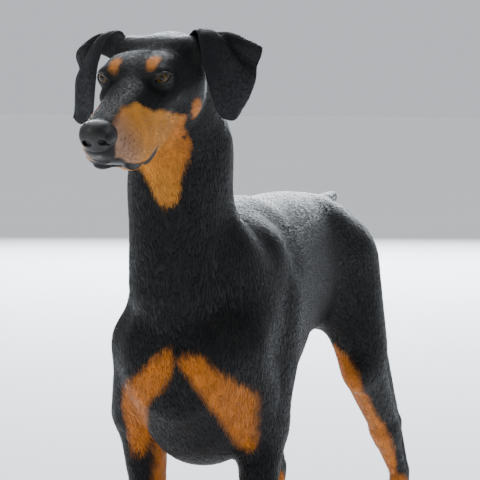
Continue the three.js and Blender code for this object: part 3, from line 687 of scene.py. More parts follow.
parts = [(skin_points, skin_quads)] + [ear_sheet(side) for side in (1, -1)]
all_points = np.concatenate([part[0] for part in parts])
shifts = np.cumsum([0] + [len(part[0]) for part in parts])
all_quads = np.concatenate([part[1] + shift for part, shift in zip(parts, shifts)])
is_ear = np.arange(len(all_points)) >= len(skin_points)
# Painted sheen on the ears, with painted shade in the crease; none on the body
ear_painted_sheen = np.zeros(len(all_points))
for part, shift in zip(parts[1:], shifts[1:]):
    ear_painted_sheen[shift:shift + len(part[0])] = part[3]
skin = make_mesh("skin", all_points, all_quads)
skin_normals = np.empty(len(all_points) * 3, dtype=np.float32)
skin.data.vertices.foreach_get("normal", skin_normals)
skin_normals = skin_normals.reshape(-1, 3).astype(float)

# Which way the hair lies: places on the dog and directions, both left, forward, up, the left half mirrored
lie_on_head = [
    ((0, 120, 6), (0, -1, 0.05)), ((0, 60, 8), (0, -1, 0.1)), ((0, 10, 14), (0, -1, 0.25)),
    ((0, -60, 20), (0, -1, -0.1)), ((28, 4, 18), (0.5, -0.9, 0.2)), ((34, -50, 14), (0.4, -1, -0.1)),
    ((28, 95, -20), (0.1, -1, -0.1)), ((30, 95, -50), (0.1, -1, -0.25)), ((44, 14, -30), (0.2, -1, -0.3)),
    ((52, -30, -40), (0.1, -1, -0.35)), ((40, -40, -80), (0, -0.8, -0.7)), ((0, 110, -66), (0, -1, -0.1)),
    ((0, 40, -92), (0, -1, -0.2)), ((44, 20, -6), (0.6, -0.9, -0.2)),
]
lie_on_body = [
    ((0, 356, 720), (0, -0.1, -1)), ((0, 225, 800), (0, -0.5, -1)), ((0, 180, 700), (0, -0.7, -0.9)),
    ((60, 290, 740), (0.1, -0.3, -1)), ((66, 260, 650), (0.15, -0.35, -1)), ((0, 335, 640), (0, -0.05, -1)),
    ((70, 220, 580), (0.2, -0.5, -0.9)), ((0, 300, 540), (0, 0, -1)), ((45, 300, 480), (0.35, 0, -1)),
    ((30, 300, 410), (0.3, -0.2, -1)), ((0, 250, 350), (0, -1, -0.5)), ((60, 250, 400), (-0.2, -0.4, -1)),
    ((85, 190, 520), (0.15, -0.55, -0.85)), ((95, 160, 430), (0.1, -0.4, -0.9)),
    ((105, 120, 360), (0, -0.6, -0.8)), ((100, 60, 520), (0, -0.95, -0.4)),
    ((95, -100, 520), (0, -1, -0.25)), ((80, 0, 400), (0, -1, -0.2)),
    ((0, 60, 330), (0, -1, 0)), ((0, -120, 430), (0, -1, 0.1)), ((0, -100, 660), (0, -1, 0)),
    ((0, 60, 656), (0, -1, -0.05)), ((70, 0, 625), (0.3, -1, -0.25)), ((0, -250, 625), (0, -1, -0.3)),
    ((110, -220, 500), (0.1, -0.55, -0.85)), ((60, -310, 500), (0, -0.25, -1)),
    ((105, -200, 395), (0, -0.5, -0.9)), ((100, -300, 330), (0, -0.6, -0.8)),
    ((100, -410, 200), (0, -0.1, -1)), ((95, -390, 110), (0, 0.1, -1)),
    ((90, -350, 22), (0, 0.9, -0.35)), ((75, 165, 250), (0, 0, -1)), ((70, 185, 90), (0, 0.1, -1)),
    ((68, 220, 22), (0, 0.9, -0.35)), ((0, -330, 640), (0, -1, 0.1)),
]


def lie_anchors():
    places = []
    ways = []
    for mirror in (1, -1):
        flip = np.array([mirror, 1, 1])
        for place, way in lie_on_head:
            place = np.array(place) * flip
            way = np.array(way) * flip
            places.append(on_head(*place))
            ways.append(head_across * way[0] + head_ahead * way[1] + head_up * way[2])
        for place, way in lie_on_body:
            places.append(at(*(np.array(place) * flip)))
            ways.append(np.array(way) * flip * [1, -1, 1])
    ways = np.array(ways, dtype=float)
    return np.array(places), ways / np.linalg.norm(ways, axis=1)[:, None]


def lie_at(points, normals):
    places, ways = lie_anchors()
    summed = np.zeros_like(points)
    for place, way in zip(places, ways):
        off = ((points - place) ** 2).sum(axis=1)
        summed += way / (off + 600)[:, None] ** 2
    summed /= np.linalg.norm(summed, axis=1)[:, None]
    flat = summed - normals * np.einsum("ij,ij->i", summed, normals)[:, None]
    return flat / np.maximum(np.linalg.norm(flat, axis=1), 1e-6)[:, None]


skin_lie = lie_at(all_points, skin_normals)
for part, shift in zip(parts[1:], shifts[1:]):
    skin_lie[shift:shift + len(part[0])] = part[2]


# How far inside a closed outline each place is, negative outside
def inside_outline(x, y, outline):
    closed = outline + outline[:1]
    best = distance_to_line(x, y, closed)
    odd = np.zeros(len(x), dtype=bool)
    for (x0, y0), (x1, y1) in zip(closed[:-1], closed[1:]):
        if y1 != y0:
            odd ^= ((y0 > y) != (y1 > y)) & (x < x0 + (x1 - x0) * (y - y0) / (y1 - y0))
    return np.where(odd, best, -best)


def inside_oval(x, y, centre, long_way, half_length, half_width):
    size = math.hypot(*long_way)
    a = ((x - centre[0]) * long_way[0] + (y - centre[1]) * long_way[1]) / size
    b = ((x - centre[0]) * long_way[1] - (y - centre[1]) * long_way[0]) / size
    return (1 - np.sqrt((a / half_length) ** 2 + (b / half_width) ** 2)) * half_width


def ripple(points, length):
    x, y, z = points.T / length
    return (np.sin(x * 1.7 + 2.1 * np.sin(y * 0.9)) + np.sin(y * 2.3 + 1.7 * np.sin(z * 1.1))
            + np.sin(z * 1.9 + 2.3 * np.sin(x * 1.3))) / 3


# Outlines of the rust marks: on the head from its side, elsewhere from the front or the side
jaw_outline = [
    (150, -4), (128, -5), (112, -2), (100, 1), (88, 3), (74, 0), (61, -3), (54, -14), (45, -23), (33, -28),
    (20, -36), (3, -48), (-9, -57), (-18, -70), (-25, -84), (-32, -96), (-31, -108), (-24, -116), (-14, -128),
    (-6, -140), (40, -150), (150, -90),
]
throat_outline = [
    (36, -96), (33, -116), (29, -131), (25, -145), (24, -156), (18, -164), (12, -167), (6, -165),
    (0, -160), (-4, -150), (-8, -140), (-16, -128), (-28, -112), (-36, -96),
]
right_breast = [
    (2, 486), (-12, 478), (-33, 458), (-63, 437), (-92, 421), (-103, 392), (-103, 369), (-108, 344),
    (-103, 326), (-90, 328), (-66, 361), (-45, 391), (-30, 415), (-8, 436), (3, 453), (6, 475),
]
left_breast = [
    (11, 471), (20, 478), (41, 477), (51, 467), (71, 449), (84, 431), (90, 420), (88, 403), (79, 365),
    (70, 343), (60, 337), (59, 346), (59, 364), (54, 393), (47, 415), (31, 444), (15, 465),
]
# Outer edge of the rust on a hind leg: height, and distance out from the middle of the dog
hind_edge = [
    (209, 103), (243, 103), (273, 103), (298, 99), (320, 94), (334, 91), (376, 93), (392, 92), (408, 80),
    (430, 56),
]


def rust_inside(points):
    left, forward, up = dog_places(points).T
    side_left, ahead, rise = head_places(points).T
    on_face = (rise > -172) & (ahead > -60) & (up > 640)
    inside = np.full(len(points), -99.0)

    def add(value, where):
        inside[:] = np.where(where, np.maximum(inside, value), inside)

    front_of_neck = (rise > -92) | (ahead > -20)
    add(np.minimum(inside_outline(ahead, rise, jaw_outline), rise + 122), on_face & front_of_neck)
    add(inside_outline(side_left, rise, throat_outline), on_face & (ahead > -30) & (rise < -92))
    top = on_face & (rise > 0)
    add(inside_oval(side_left, ahead, (23.5, -2), (0.30, 0.95), 13.5, 8.8), top & (side_left > 0))
    add(inside_oval(side_left, ahead, (-26, 2), (0.30, 0.95), 12.5, 6.6), top & (side_left < 0))
    add(inside_oval(ahead, rise, (-29, -57), (-0.4, -0.9), 17, 8.5), on_face & (np.abs(side_left) > 38))
    add(inside_outline(left, up, right_breast), forward > 160)
    add(inside_outline(left, up, left_breast), forward > 160)
    for side in (1, -1):
        front_leg = side * 76 + stance_shift
        inner_top = 292 if side > 0 else 345
        near_front = (up < inner_top) & (forward > 90) & (left * side > stance_shift * side * 0.5)
        inner = (front_leg - left) * side - 5 - np.clip((up - 250) / 8, -99, 6)
        reach = 36 - np.abs(left - front_leg) - np.clip((up - 300) / 2, 0, 16)
        inner = np.minimum(np.maximum(inner, np.minimum(172 - up + 0.9 * (forward - 176), 30)), reach)
        add(inner, near_front)
        hip = 0 if side > 0 else hind_step
        outward = left * side - (0 if side > 0 else 10)
        edge = np.interp(up, [row[0] for row in hind_edge], [row[1] for row in hind_edge])
        near_hind = (forward < -150) & (left * side > 8)
        axis = np.interp(up, (206, 388), (-378, -250)) + hip
        edge = edge - 1.6 * np.clip(axis - forward, 0, 30)
        add(edge - outward, near_hind & (up < 432) & (up > 190))
        add(200 - up + 0.5 * (forward - hip + 400), near_hind & (up < 230))
    # Dark pencil strokes on the toes
    for foot in feet:
        for toe in toe_places(*foot):
            stroke = inside_oval(
                points[:, 0], -points[:, 1], (toe["arch"][0], -toe["arch"][1] + 2), (0.04, 1), 13, 2.4)
            inside = np.where((stroke > -6) & (up > 20) & (up < 60), np.minimum(inside, -stroke), inside)
    add(inside_oval(left, up, (0, 596), (0, 1), 20, 16), forward < -290)
    return inside


black = np.array([0.0030, 0.0032, 0.0040])
rust = np.array([0.56, 0.165, 0.009])
face_rust = np.array([0.68, 0.275, 0.034])
bare = np.array([0.40, 0.235, 0.165])
leather = np.array([0.007, 0.007, 0.008])


# Whisker roots beside the nose, forward and up on the head
whisker_roots = [
    (119, -20), (112, -22), (105, -23), (98, -23), (90, -24), (117, -28), (110, -30), (102, -31), (94, -31),
    (86, -32), (114, -36), (106, -38), (98, -39), (90, -40), (108, -46), (100, -47), (92, -49),
]


def lip_inside(points):
    _, ahead, _ = head_places(points).T
    reach = 1.8 + 7.6 * np.clip((80 - ahead) / 14, 0, 1) * np.clip((ahead - 38) / 8, 0, 1)
    reach = reach - 1.8 * np.clip((44 - ahead) / 8, 0, 1)
    return reach - mouth_distance(points)


def tones(points, ears, light):
    side_left, ahead, rise = head_places(points).T
    inside = rust_inside(points) + ripple(points, 7) * 1.6 + ripple(points, 2.5) * 0.8
    inside = np.where(ears, -9, inside)
    softness = np.where(rise > -200, 5, 9)
    share = np.clip(0.5 + inside / softness, 0, 1)[:, None]
    face = np.clip((ahead + 30) / 50, 0, 1) * np.clip((rise + 190) / 40, 0, 1) * np.where(rise > 0, 0.6, 1)
    face = face[:, None]
    orange = rust * (1 - face) + face_rust * face
    orange = orange * (1 + 0.16 * ripple(points, 9))[:, None]
    thin = np.clip((ahead - 82) / 34, 0, 1) * np.clip((8 - rise) / 10, 0, 1) * (rise > -120)
    orange = orange * (1 - 0.9 * thin[:, None]) + bare * 0.9 * thin[:, None]
    # On the ears, light is a painted sheen: black is made up to four times lighter, and stays dark in the
    # painted crease shade
    tone = black * (1 + 3.2 * light[:, None]) * (1 - share) + orange * share
    on_lip = (np.abs(side_left) > 12) * 0.85
    for dot_ahead, dot_rise in whisker_roots:
        dot = np.clip(1.5 - np.hypot(ahead - dot_ahead, rise - dot_rise), 0, 1) * on_lip
        tone = tone * (1 - dot[:, None]) + black * dot[:, None]
    wet = np.where((ahead > 20) & (rise > -100), np.clip(0.5 + lip_inside(points) / 1.6, 0, 1), 0)
    # Black under the nose and down the front of the lips, round a small grey spot; the black skin under the
    # nose leather also stands in as painted shade inside the nostrils
    under_nose = np.where(ahead > 114, inside_oval(side_left, rise, (3, -22), (0, 1), 27, 19), -9)
    front_lip = np.where(ahead > 104, inside_oval(side_left, rise, (5, -48), (1, 0), 19, 13), -9)
    mouth_forward, mouth_up = np.array(mouth_line[::-1], dtype=float).T
    level = np.interp(ahead, mouth_forward, mouth_up)
    lower_lip = np.where(ahead > 84, np.minimum(rise - level + 9, level - rise + 3), -9)
    dark = np.maximum(np.maximum(under_nose, front_lip), lower_lip)
    dark = np.clip(0.5 + dark / 2.5, 0, 1) * (rise < 9)
    spot = np.clip(0.5 + inside_oval(side_left, rise, (2, -33), (1, 0), 3.2, 2.2) / 1.5, 0, 1) * (ahead > 125)
    grey = np.clip(spot, 0, 1)[:, None]
    damp = np.clip(np.maximum(wet, dark), 0, 1)[:, None]
    tone = tone * (1 - damp) + leather * damp
    tone = tone * (1 - grey) + np.array([0.10, 0.095, 0.095]) * grey
    for side in (1, -1):
        along, lift, depth, _ = eye_places(points, side)
        ball = np.sqrt(along ** 2 + lift ** 2 + depth ** 2)
        rim = np.clip((eye_radius + 5.2 - ball) / 2, 0, 1)
        rim = rim * np.clip((3 - lid_opening(along, lift)) / 2, 0, 1)
        wet = np.maximum(wet, rim * (depth > 0))
    pad = np.clip((3.0 - points[:, 2]) / 2, 0, 1)
    wet = np.maximum(wet, pad)
    ring = np.maximum(wet - damp[:, 0], 0)[:, None]
    wet = np.maximum(wet, dark * 0.3)
    return tone * (1 - ring) + leather * ring, wet, share[:, 0]


def add_tone(made, tone, wet):
    layer = made.data.color_attributes.new("tone", "FLOAT_COLOR", "POINT")
    colour = np.ones((len(tone), 4), dtype=np.float32)
    colour[:, :3] = tone
    layer.data.foreach_set("color", colour.ravel())
    damp = made.data.attributes.new("wet", "FLOAT", "POINT")
    damp.data.foreach_set("value", wet.astype(np.float32))


skin_tone, skin_wet, _ = tones(all_points, is_ear, ear_painted_sheen)
add_tone(skin, skin_tone, skin_wet)


# Nose leather: the end of the muzzle with its wings, nostrils, side slits and middle groove
nose_cell = 0.9
nose_left = 4.0
nose_middle = on_head(0, 131, -9)


def nose_field(points):
    value = joined(points) - 0.2
    for side in (1, -1):
        place = on_head(nose_left + side * 13, 133, -10)
        wing = egg(place, [8.6, 11, 9.5], head_pitch, -head_turn, 4)[0](points)
        overlap = np.maximum(5 - np.abs(value - wing), 0) / 5
        value = np.minimum(value, wing) - overlap * overlap * 1.25
    for side in (1, -1):
        place = on_head(nose_left + side * 10.5, 143, -12)
        hole = egg(place, [6.2, 9, 4.8], head_pitch + 8, side * 26 - head_turn, 0)[0](points)
        value = smooth_cut(value, hole, 2.2)
        start = on_head(nose_left + side * 14, 140, -14)
        slit = bone(start, on_head(nose_left + side * 23, 128, -16), 2.2, 1.0, 0)[0](points)
        value = smooth_cut(value, slit, 1.6)
    groove = bone(on_head(nose_left, 148, -9), on_head(nose_left, 142, -33), 1.2, 1.1, 0)[0](points)
    value = smooth_cut(value, groove, 2.0)
    shape = egg(on_head(1.5, 131, -8.5), [27, 22, 18.5], head_pitch, -head_turn, 0)[0](points)
    overlap = np.maximum(3 - np.abs(value - shape), 0) / 3
    return np.maximum(value, shape) + overlap * overlap * 0.75


def make_nose():
    low = nose_middle - 33.0
    count = int(66 / nose_cell) + 1
    ticks = np.arange(count)
    grid = np.stack(np.meshgrid(ticks, ticks, ticks, indexing="ij"), axis=-1).reshape(-1, 3)
    values = nose_field(low + grid * nose_cell).reshape(count, count, count)
    points, quads = surface_net(values, low, nose_cell)
    return make_mesh("nose_leather", settled(nose_field, points, 0.4), quads)


nose = make_nose()


# Eyeballs: rings from the gaze outward, with a raised cornea
def make_eye(side):
    _, _, _, (_, up, aim) = eye_places(eye_centres[side][None], side)
    gaze = aim * 0.985 - head_across * side * 0.17
    gaze = gaze / np.linalg.norm(gaze)
    right = np.cross(up, gaze)
    right = right / np.linalg.norm(right)
    top = np.cross(gaze, right)
    sides = 48
    angles = np.radians(np.concatenate([np.linspace(2, 44, 22), np.linspace(50, 172, 18)]))
    turns = np.linspace(0, 2 * math.pi, sides, endpoint=False)
    points = []
    for angle in angles:
        radius = eye_radius * (1 + 0.05 * math.exp(-(angle / math.radians(26)) ** 4))
        for turn in turns:
            out = right * math.cos(turn) + top * math.sin(turn)
            points.append(eye_centres[side] + (gaze * math.cos(angle) + out * math.sin(angle)) * radius)
    points.append(eye_centres[side] + gaze * eye_radius * 1.05)
    points.append(eye_centres[side] - gaze * eye_radius)
    faces = []
    for i in range(len(angles) - 1):
        for j in range(sides):
            k = (j + 1) % sides
            faces.append([i * sides + j, (i + 1) * sides + j, (i + 1) * sides + k, i * sides + k])
    last = (len(angles) - 1) * sides
    for j in range(0, sides, 2):
        a = (j + 1) % sides
        b = (j + 2) % sides
        faces.append([len(points) - 2, j, a, b])
        faces.append([len(points) - 1, last + b, last + a, last + j])
    made = make_mesh("left_eyeball" if side > 0 else "right_eyeball", points, faces)
    tilt = np.array(points) - eye_centres[side]
    away = np.degrees(np.arccos(np.clip(tilt @ gaze / np.linalg.norm(tilt, axis=1), -1, 1)))
    layer = made.data.attributes.new("away", "FLOAT", "POINT")
    layer.data.foreach_set("value", (away / 90).astype(np.float32))
    return made


eyes = {side: make_eye(side) for side in (1, -1)}


# Rims of the lids, a tube along the opening of each eye
def tube_mesh(path, radii, sides=10):
    path = np.asarray(path)
    count = len(path)
    points = []
    ahead = np.roll(path, -1, axis=0) - np.roll(path, 1, axis=0)
    centre = path.mean(axis=0)
    for place, way, radius in zip(path, ahead, radii):
        way = way / np.linalg.norm(way)
        out = place - centre
        out = out - way * (out @ way)
        out = out / np.linalg.norm(out)
        other = np.cross(way, out)
        for k in range(sides):
            turn = 2 * math.pi * k / sides
            points.append(place + (out * math.cos(turn) + other * math.sin(turn)) * radius)
    faces = []
    for i in range(count):
        j = (i + 1) % count
        for k in range(sides):
            m = (k + 1) % sides
            faces.append([i * sides + k, i * sides + m, j * sides + m, j * sides + k])
    return np.array(points), np.array(faces)


def make_rims():
    all_rims = []
    rim_faces = []
    shift = 0
    for side in (1, -1):
        _, _, _, (across, up, aim) = eye_places(eye_centres[side][None], side)
        path = []
        radii = []
        for turn in np.linspace(0, 2 * math.pi, 72, endpoint=False):
            along = (lid_half_width + 0.4) * math.cos(turn)
            share = min(abs(math.cos(turn)), 1)
            edge = (lid_rise if math.sin(turn) > 0 else lid_drop) * (1 - share ** lid_round)
            rise = edge if math.sin(turn) > 0 else -edge
            reach = eye_radius + 0.9
            depth = math.sqrt(max(reach ** 2 - along ** 2 - rise ** 2, 1))
            path.append(eye_centres[side] + across * along + up * rise + aim * depth)
            radii.append(1.15 + 0.45 * max(math.sin(turn), 0) + 0.2 * share ** 6)
        points, faces = tube_mesh(path, radii)
        if side < 0:
            faces = faces[:, ::-1]
        all_rims.append(points)
        rim_faces.append(faces + shift)
        shift += len(points)
    return make_mesh("lid_rims", np.concatenate(all_rims), np.concatenate(rim_faces))


rims = make_rims()


# Claws: curved, tapering, slightly flattened, four to a foot
def make_claws():
    points = []
    faces = []
    rings = 12
    sides = 14
    for foot in feet:
        for toe in toe_places(*foot):
            root = toe["tip"] + np.array([0, -4, 2])
            first = len(points)
            for i in range(rings):
                t = i / (rings - 1)
                size = 3.3 * math.sqrt(max(1 - t ** 1.7, 0.012))
                middle = root + np.array([toe["share"] * t, -12.6 * t, -3.9 * t * (0.5 + t)])
                for j in range(sides):
                    turn = 2 * math.pi * j / sides
                    out = np.array([size * 0.86 * math.cos(turn), 0, size * 1.08 * math.sin(turn)])
                    points.append(middle + out)
            for i in range(rings - 1):
                for j in range(sides):
                    k = (j + 1) % sides
                    a = first + i * sides
                    faces.append([a + j, a + k, a + sides + k, a + sides + j])
            for end, turned in ((0, False), (rings - 1, True)):
                a = first + end * sides
                for j in range(1, sides - 2, 2):
                    cap = [a, a + j, a + j + 1, a + j + 2]
                    faces.append(cap if turned else cap[::-1])
    return make_mesh("claws", points, faces)


claws = make_claws()


# Unwrap of the skin, looked up at the root of every tuft
def unwrap(made):
    bpy.context.view_layer.objects.active = made
    for other in bpy.context.selected_objects:
        other.select_set(False)
    made.select_set(True)
    bpy.ops.object.mode_set(mode="EDIT")
    bpy.ops.mesh.select_all(action="SELECT")
    bpy.ops.uv.smart_project(angle_limit=math.radians(66), island_margin=0.002)
    bpy.ops.object.mode_set(mode="OBJECT")
    made.select_set(False)
    flat = np.empty(len(made.data.loops) * 2, dtype=np.float32)
    made.data.uv_layers.active.data.foreach_get("uv", flat)
    return flat.reshape(-1, 2).astype(float)


skin_uv = unwrap(skin)

# Length of the hair in tufts over the body, in millimetres
def hair_length(points, ears):
    _, ahead, rise = head_places(points).T
    forward = middle_forward - points[:, 1]
    up = points[:, 2]
    length = np.full(len(points), 10.5)
    length = np.where(up < 330, 8.0 + np.clip((up - 230) / 25, 0, 4), length)
    length = np.where(up < 70, 4.5, length)
    head = np.clip((ahead + 120) / 60, 0, 1) * np.clip((rise + 150) / 60, 0, 1)
    length = length * (1 - head) + 5.0 * head
    muzzle = np.clip((ahead - 20) / 60, 0, 1) * head
    length = length * (1 - muzzle) + 2.8 * muzzle
    close = np.full(len(points), 99.0)
    for side in (1, -1):
        close = np.minimum(close, np.linalg.norm(points - eye_centres[side], axis=1))
    length = np.where(close < 26, np.minimum(length, 3.2), length)
    length = np.where(ears, 3.8, length)
    return np.where(forward < -325, np.minimum(length, 9), length)


tuft_total = 192000
tufts_in_piece = 32500

triangles = np.concatenate([all_quads[:, [0, 1, 2]], all_quads[:, [0, 2, 3]]])
quad_count = len(all_quads)
loops = np.concatenate([
    np.arange(quad_count)[:, None] * 4 + [0, 1, 2],
    np.arange(quad_count)[:, None] * 4 + [0, 2, 3],
])
corner = all_points[triangles]
area = np.linalg.norm(np.cross(corner[:, 1] - corner[:, 0], corner[:, 2] - corner[:, 0]), axis=1) / 2
middles = corner.mean(axis=1)
face_ear = is_ear[triangles[:, 0]]
face_length = hair_length(middles, face_ear)
weight = area / face_length ** 1.25
weight *= skin_wet[triangles].max(axis=1) < 0.3
weight *= middles[:, 2] > 2.5
_, nose_ahead, nose_rise = head_places(middles).T
weight *= (nose_ahead < 119) | (nose_rise < -26) | (nose_rise > 9)
chosen = random.choice(len(triangles), size=tuft_total, p=weight / weight.sum())
share = random.random((tuft_total, 2))
outside = share.sum(axis=1) > 1
share[outside] = 1 - share[outside]
mix = np.stack([1 - share.sum(axis=1), share[:, 0], share[:, 1]], axis=1)


def mixed(values_at, places):
    return (values_at[places] * mix[:, :, None]).sum(axis=1)


roots = mixed(all_points, triangles[chosen])
root_normals = mixed(skin_normals, triangles[chosen])
root_normals /= np.linalg.norm(root_normals, axis=1)[:, None]
root_lie = mixed(skin_lie, triangles[chosen])
root_lie -= root_normals * np.einsum("ij,ij->i", root_lie, root_normals)[:, None]
root_lie /= np.maximum(np.linalg.norm(root_lie, axis=1), 1e-6)[:, None]
root_uv = mixed(skin_uv, loops[chosen])
root_ear = face_ear[chosen]
# The ears' painted sheen and painted crease shade, carried to each tuft's root
root_painted_sheen = mixed(ear_painted_sheen[:, None], triangles[chosen])[:, 0]
root_tone, _, root_rust = tones(roots, root_ear, root_painted_sheen)
length = hair_length(roots, root_ear) * random.uniform(0.7, 1.2, tuft_total)
sideways = np.cross(root_normals, root_lie)
turn = random.normal(0, 0.08, tuft_total) + 0.05 * ripple(roots, 11)
way = root_lie * np.cos(turn)[:, None] + sideways * np.sin(turn)[:, None]
sideways = np.cross(root_normals, way)
lift = (0.18 + 0.034 * length) * random.uniform(0.6, 1.4, tuft_total)
width = (0.30 + 0.066 * length) * random.uniform(0.75, 1.25, tuft_total)

# A bristly whorl stands out beside the middle of the breast
dog_left, dog_forward, dog_up = dog_places(roots).T
whorl = np.exp(-((dog_left - 12) / 16) ** 2 - ((dog_up - 492) / 22) ** 2) * (dog_forward > 230)
lift = lift * (1 + 2.2 * whorl)

# Tufts hug the skin: the middle and the tip are dropped onto it, then raised by the lift
skin_tree = BVHTree.FromPolygons([tuple(p) for p in all_points], all_quads.tolist())


def on_skin(points, height, ground):
    found = np.array([tuple(skin_tree.find_nearest(tuple(p))[0]) for p in points])
    return found + ground * height[:, None]


middle_place = on_skin(roots + way * (length * 0.42)[:, None], lift * 0.75, root_normals)
tip_place = on_skin(roots + way * length[:, None], lift, root_normals)
root_place = roots - root_normals * 0.25
half = sideways * (width / 2)[:, None]
ridge = root_normals * (0.05 + width * 0.07)[:, None]
tuft_points = np.stack(
    [root_place, middle_place + half, middle_place - half, middle_place + ridge, tip_place], axis=1)
tuft_shape = np.array([[0, 3, 1], [0, 2, 3], [0, 1, 2], [4, 1, 3], [4, 3, 2], [4, 2, 1]])

bright = random.uniform(0.84, 1.18, tuft_total) * (1 + 0.10 * ripple(roots, 4))
# Painted glints: about one black tuft in twenty is made lighter, standing in for sheen on the hair tips
painted_tip_glint = (random.random(tuft_total) < 0.05) * (root_rust < 0.3) * 0.012
tuft_tone = root_tone * bright[:, None] + painted_tip_glint[:, None]
tip_tone = tuft_tone * 1.25 + 0.002


def make_coat():
    pieces = []
    patch = np.array([[0, -1], [-1, 0], [1, 0], [0, 0.3], [0, 1]]) * 0.0015
    order = np.argsort(dog_forward, kind="stable")
    for number, start in enumerate(range(0, tuft_total, tufts_in_piece)):
        picked = order[start:start + tufts_in_piece]
        count = len(picked)
        faces = (tuft_shape[None] + (np.arange(count) * 5)[:, None, None]).reshape(-1, 3)
        made = make_mesh(f"coat_{number + 1}", tuft_points[picked].reshape(-1, 3), faces)
        tone = np.repeat(tuft_tone[picked][:, None], 5, axis=1)
        tone[:, 0] *= 0.8
        tone[:, 4] = tip_tone[picked]
        add_tone(made, tone.reshape(-1, 3), np.zeros(count * 5))
        layer = made.data.uv_layers.new(name="OFBake")
        spots = (root_uv[picked][:, None] + patch[None]).reshape(-1, 2)
        layer.data.foreach_set("uv", spots[faces.ravel()].astype(np.float32).ravel())
        pieces.append(made)
    return pieces


coat = make_coat()


# Materials
def new_material(name):
    made = bpy.data.materials.new(name)
    made.use_nodes = True
    tree = made.node_tree
    return made, tree.nodes, tree.links, tree.nodes["Principled BSDF"]


def noise(nodes, links, scale, detail=3.0):
    place = nodes.new("ShaderNodeTexCoord")
    made = nodes.new("ShaderNodeTexNoise")
    made.inputs["Scale"].default_value = scale
    made.inputs["Detail"].default_value = detail
    links.new(place.outputs["Object"], made.inputs["Vector"])
    return made


def ranged(nodes, links, source, low, high):
    made = nodes.new("ShaderNodeMapRange")
    made.inputs["To Min"].default_value = low
    made.inputs["To Max"].default_value = high
    links.new(source, made.inputs["Value"])
    return made.outputs["Result"]


def bump(nodes, links, height, strength, distance, shader):
    made = nodes.new("ShaderNodeBump")
    made.inputs["Strength"].default_value = strength
    made.inputs["Distance"].default_value = distance
    links.new(height, made.inputs["Height"])
    links.new(made.outputs["Normal"], shader.inputs["Normal"])


def coat_material(name, is_skin):
    made, nodes, links, shader = new_material(name)
    tone = nodes.new("ShaderNodeAttribute")
    tone.attribute_name = "tone"
    patches = noise(nodes, links, 38.0, 4.0)
    strength = ranged(nodes, links, patches.outputs["Fac"], 0.72, 1.28)
    scaled = nodes.new("ShaderNodeVectorMath")
    scaled.operation = "SCALE"
    links.new(tone.outputs["Color"], scaled.inputs[0])
    links.new(strength, scaled.inputs["Scale"])
    links.new(scaled.outputs["Vector"], shader.inputs["Base Color"])
    fine = noise(nodes, links, 420.0, 2.0)
    if is_skin:
        wet = nodes.new("ShaderNodeAttribute")
        wet.attribute_name = "wet"
        gloss = ranged(nodes, links, wet.outputs["Fac"], 0.50, 0.44)
        links.new(gloss, shader.inputs["Roughness"])
        bump(nodes, links, fine.outputs["Fac"], 0.35, 0.0006, shader)
    else:
        links.new(ranged(nodes, links, fine.outputs["Fac"], 0.30, 0.48), shader.inputs["Roughness"])
    shader.inputs["Specular IOR Level"].default_value = 0.30
    return made


def leather_material(name, colour, scale, depth, gloss):
    made, nodes, links, shader = new_material(name)
    cells = nodes.new("ShaderNodeTexVoronoi")
    cells.inputs["Scale"].default_value = scale
    place = nodes.new("ShaderNodeTexCoord")
    links.new(place.outputs["Object"], cells.inputs["Vector"])
    clouds = noise(nodes, links, 90.0)
    ramp = nodes.new("ShaderNodeValToRGB")
    ramp.color_ramp.elements[0].position = 0.3
    ramp.color_ramp.elements[0].color = (*[c * 0.7 for c in colour], 1)
    ramp.color_ramp.elements[1].position = 0.7
    ramp.color_ramp.elements[1].color = (*[c * 1.5 for c in colour], 1)
    links.new(clouds.outputs["Fac"], ramp.inputs["Fac"])
    links.new(ramp.outputs["Color"], shader.inputs["Base Color"])
    dullness = ranged(nodes, links, cells.outputs["Distance"], gloss - 0.06, gloss + 0.14)
    links.new(dullness, shader.inputs["Roughness"])
    bump(nodes, links, cells.outputs["Distance"], 0.6, depth, shader)
    shader.inputs["Coat Weight"].default_value = 0.12
    shader.inputs["Coat Roughness"].default_value = 0.2
    return made


def eye_material():
    made, nodes, links, shader = new_material("wet_eye")
    away = nodes.new("ShaderNodeAttribute")
    away.attribute_name = "away"
    ramp = nodes.new("ShaderNodeValToRGB")
    stops = [
        (0.0, (0.002, 0.002, 0.002)), (0.18, (0.003, 0.002, 0.002)), (0.21, (0.075, 0.042, 0.012)),
        (0.31, (0.13, 0.080, 0.024)), (0.40, (0.05, 0.022, 0.008)), (0.45, (0.008, 0.005, 0.004)),
        (0.52, (0.05, 0.03, 0.027)), (0.8, (0.08, 0.03, 0.028)),
    ]
    while len(ramp.color_ramp.elements) < len(stops):
        ramp.color_ramp.elements.new(0.5)
    for element, (place, colour) in zip(ramp.color_ramp.elements, stops):
        element.position = place
        element.color = (*colour, 1)
    streaks = noise(nodes, links, 700.0)
    wavering = nodes.new("ShaderNodeMath")
    wavering.operation = "MULTIPLY_ADD"
    links.new(streaks.outputs["Fac"], wavering.inputs[0])
    wavering.inputs[1].default_value = 0.03
    links.new(away.outputs["Fac"], wavering.inputs[2])
    links.new(wavering.outputs["Value"], ramp.inputs["Fac"])
    links.new(ramp.outputs["Color"], shader.inputs["Base Color"])
    shader.inputs["Roughness"].default_value = 0.2
    shader.inputs["Specular IOR Level"].default_value = 0.25
    shader.inputs["Coat Weight"].default_value = 0.35
    shader.inputs["Coat Roughness"].default_value = 0.03
    return made


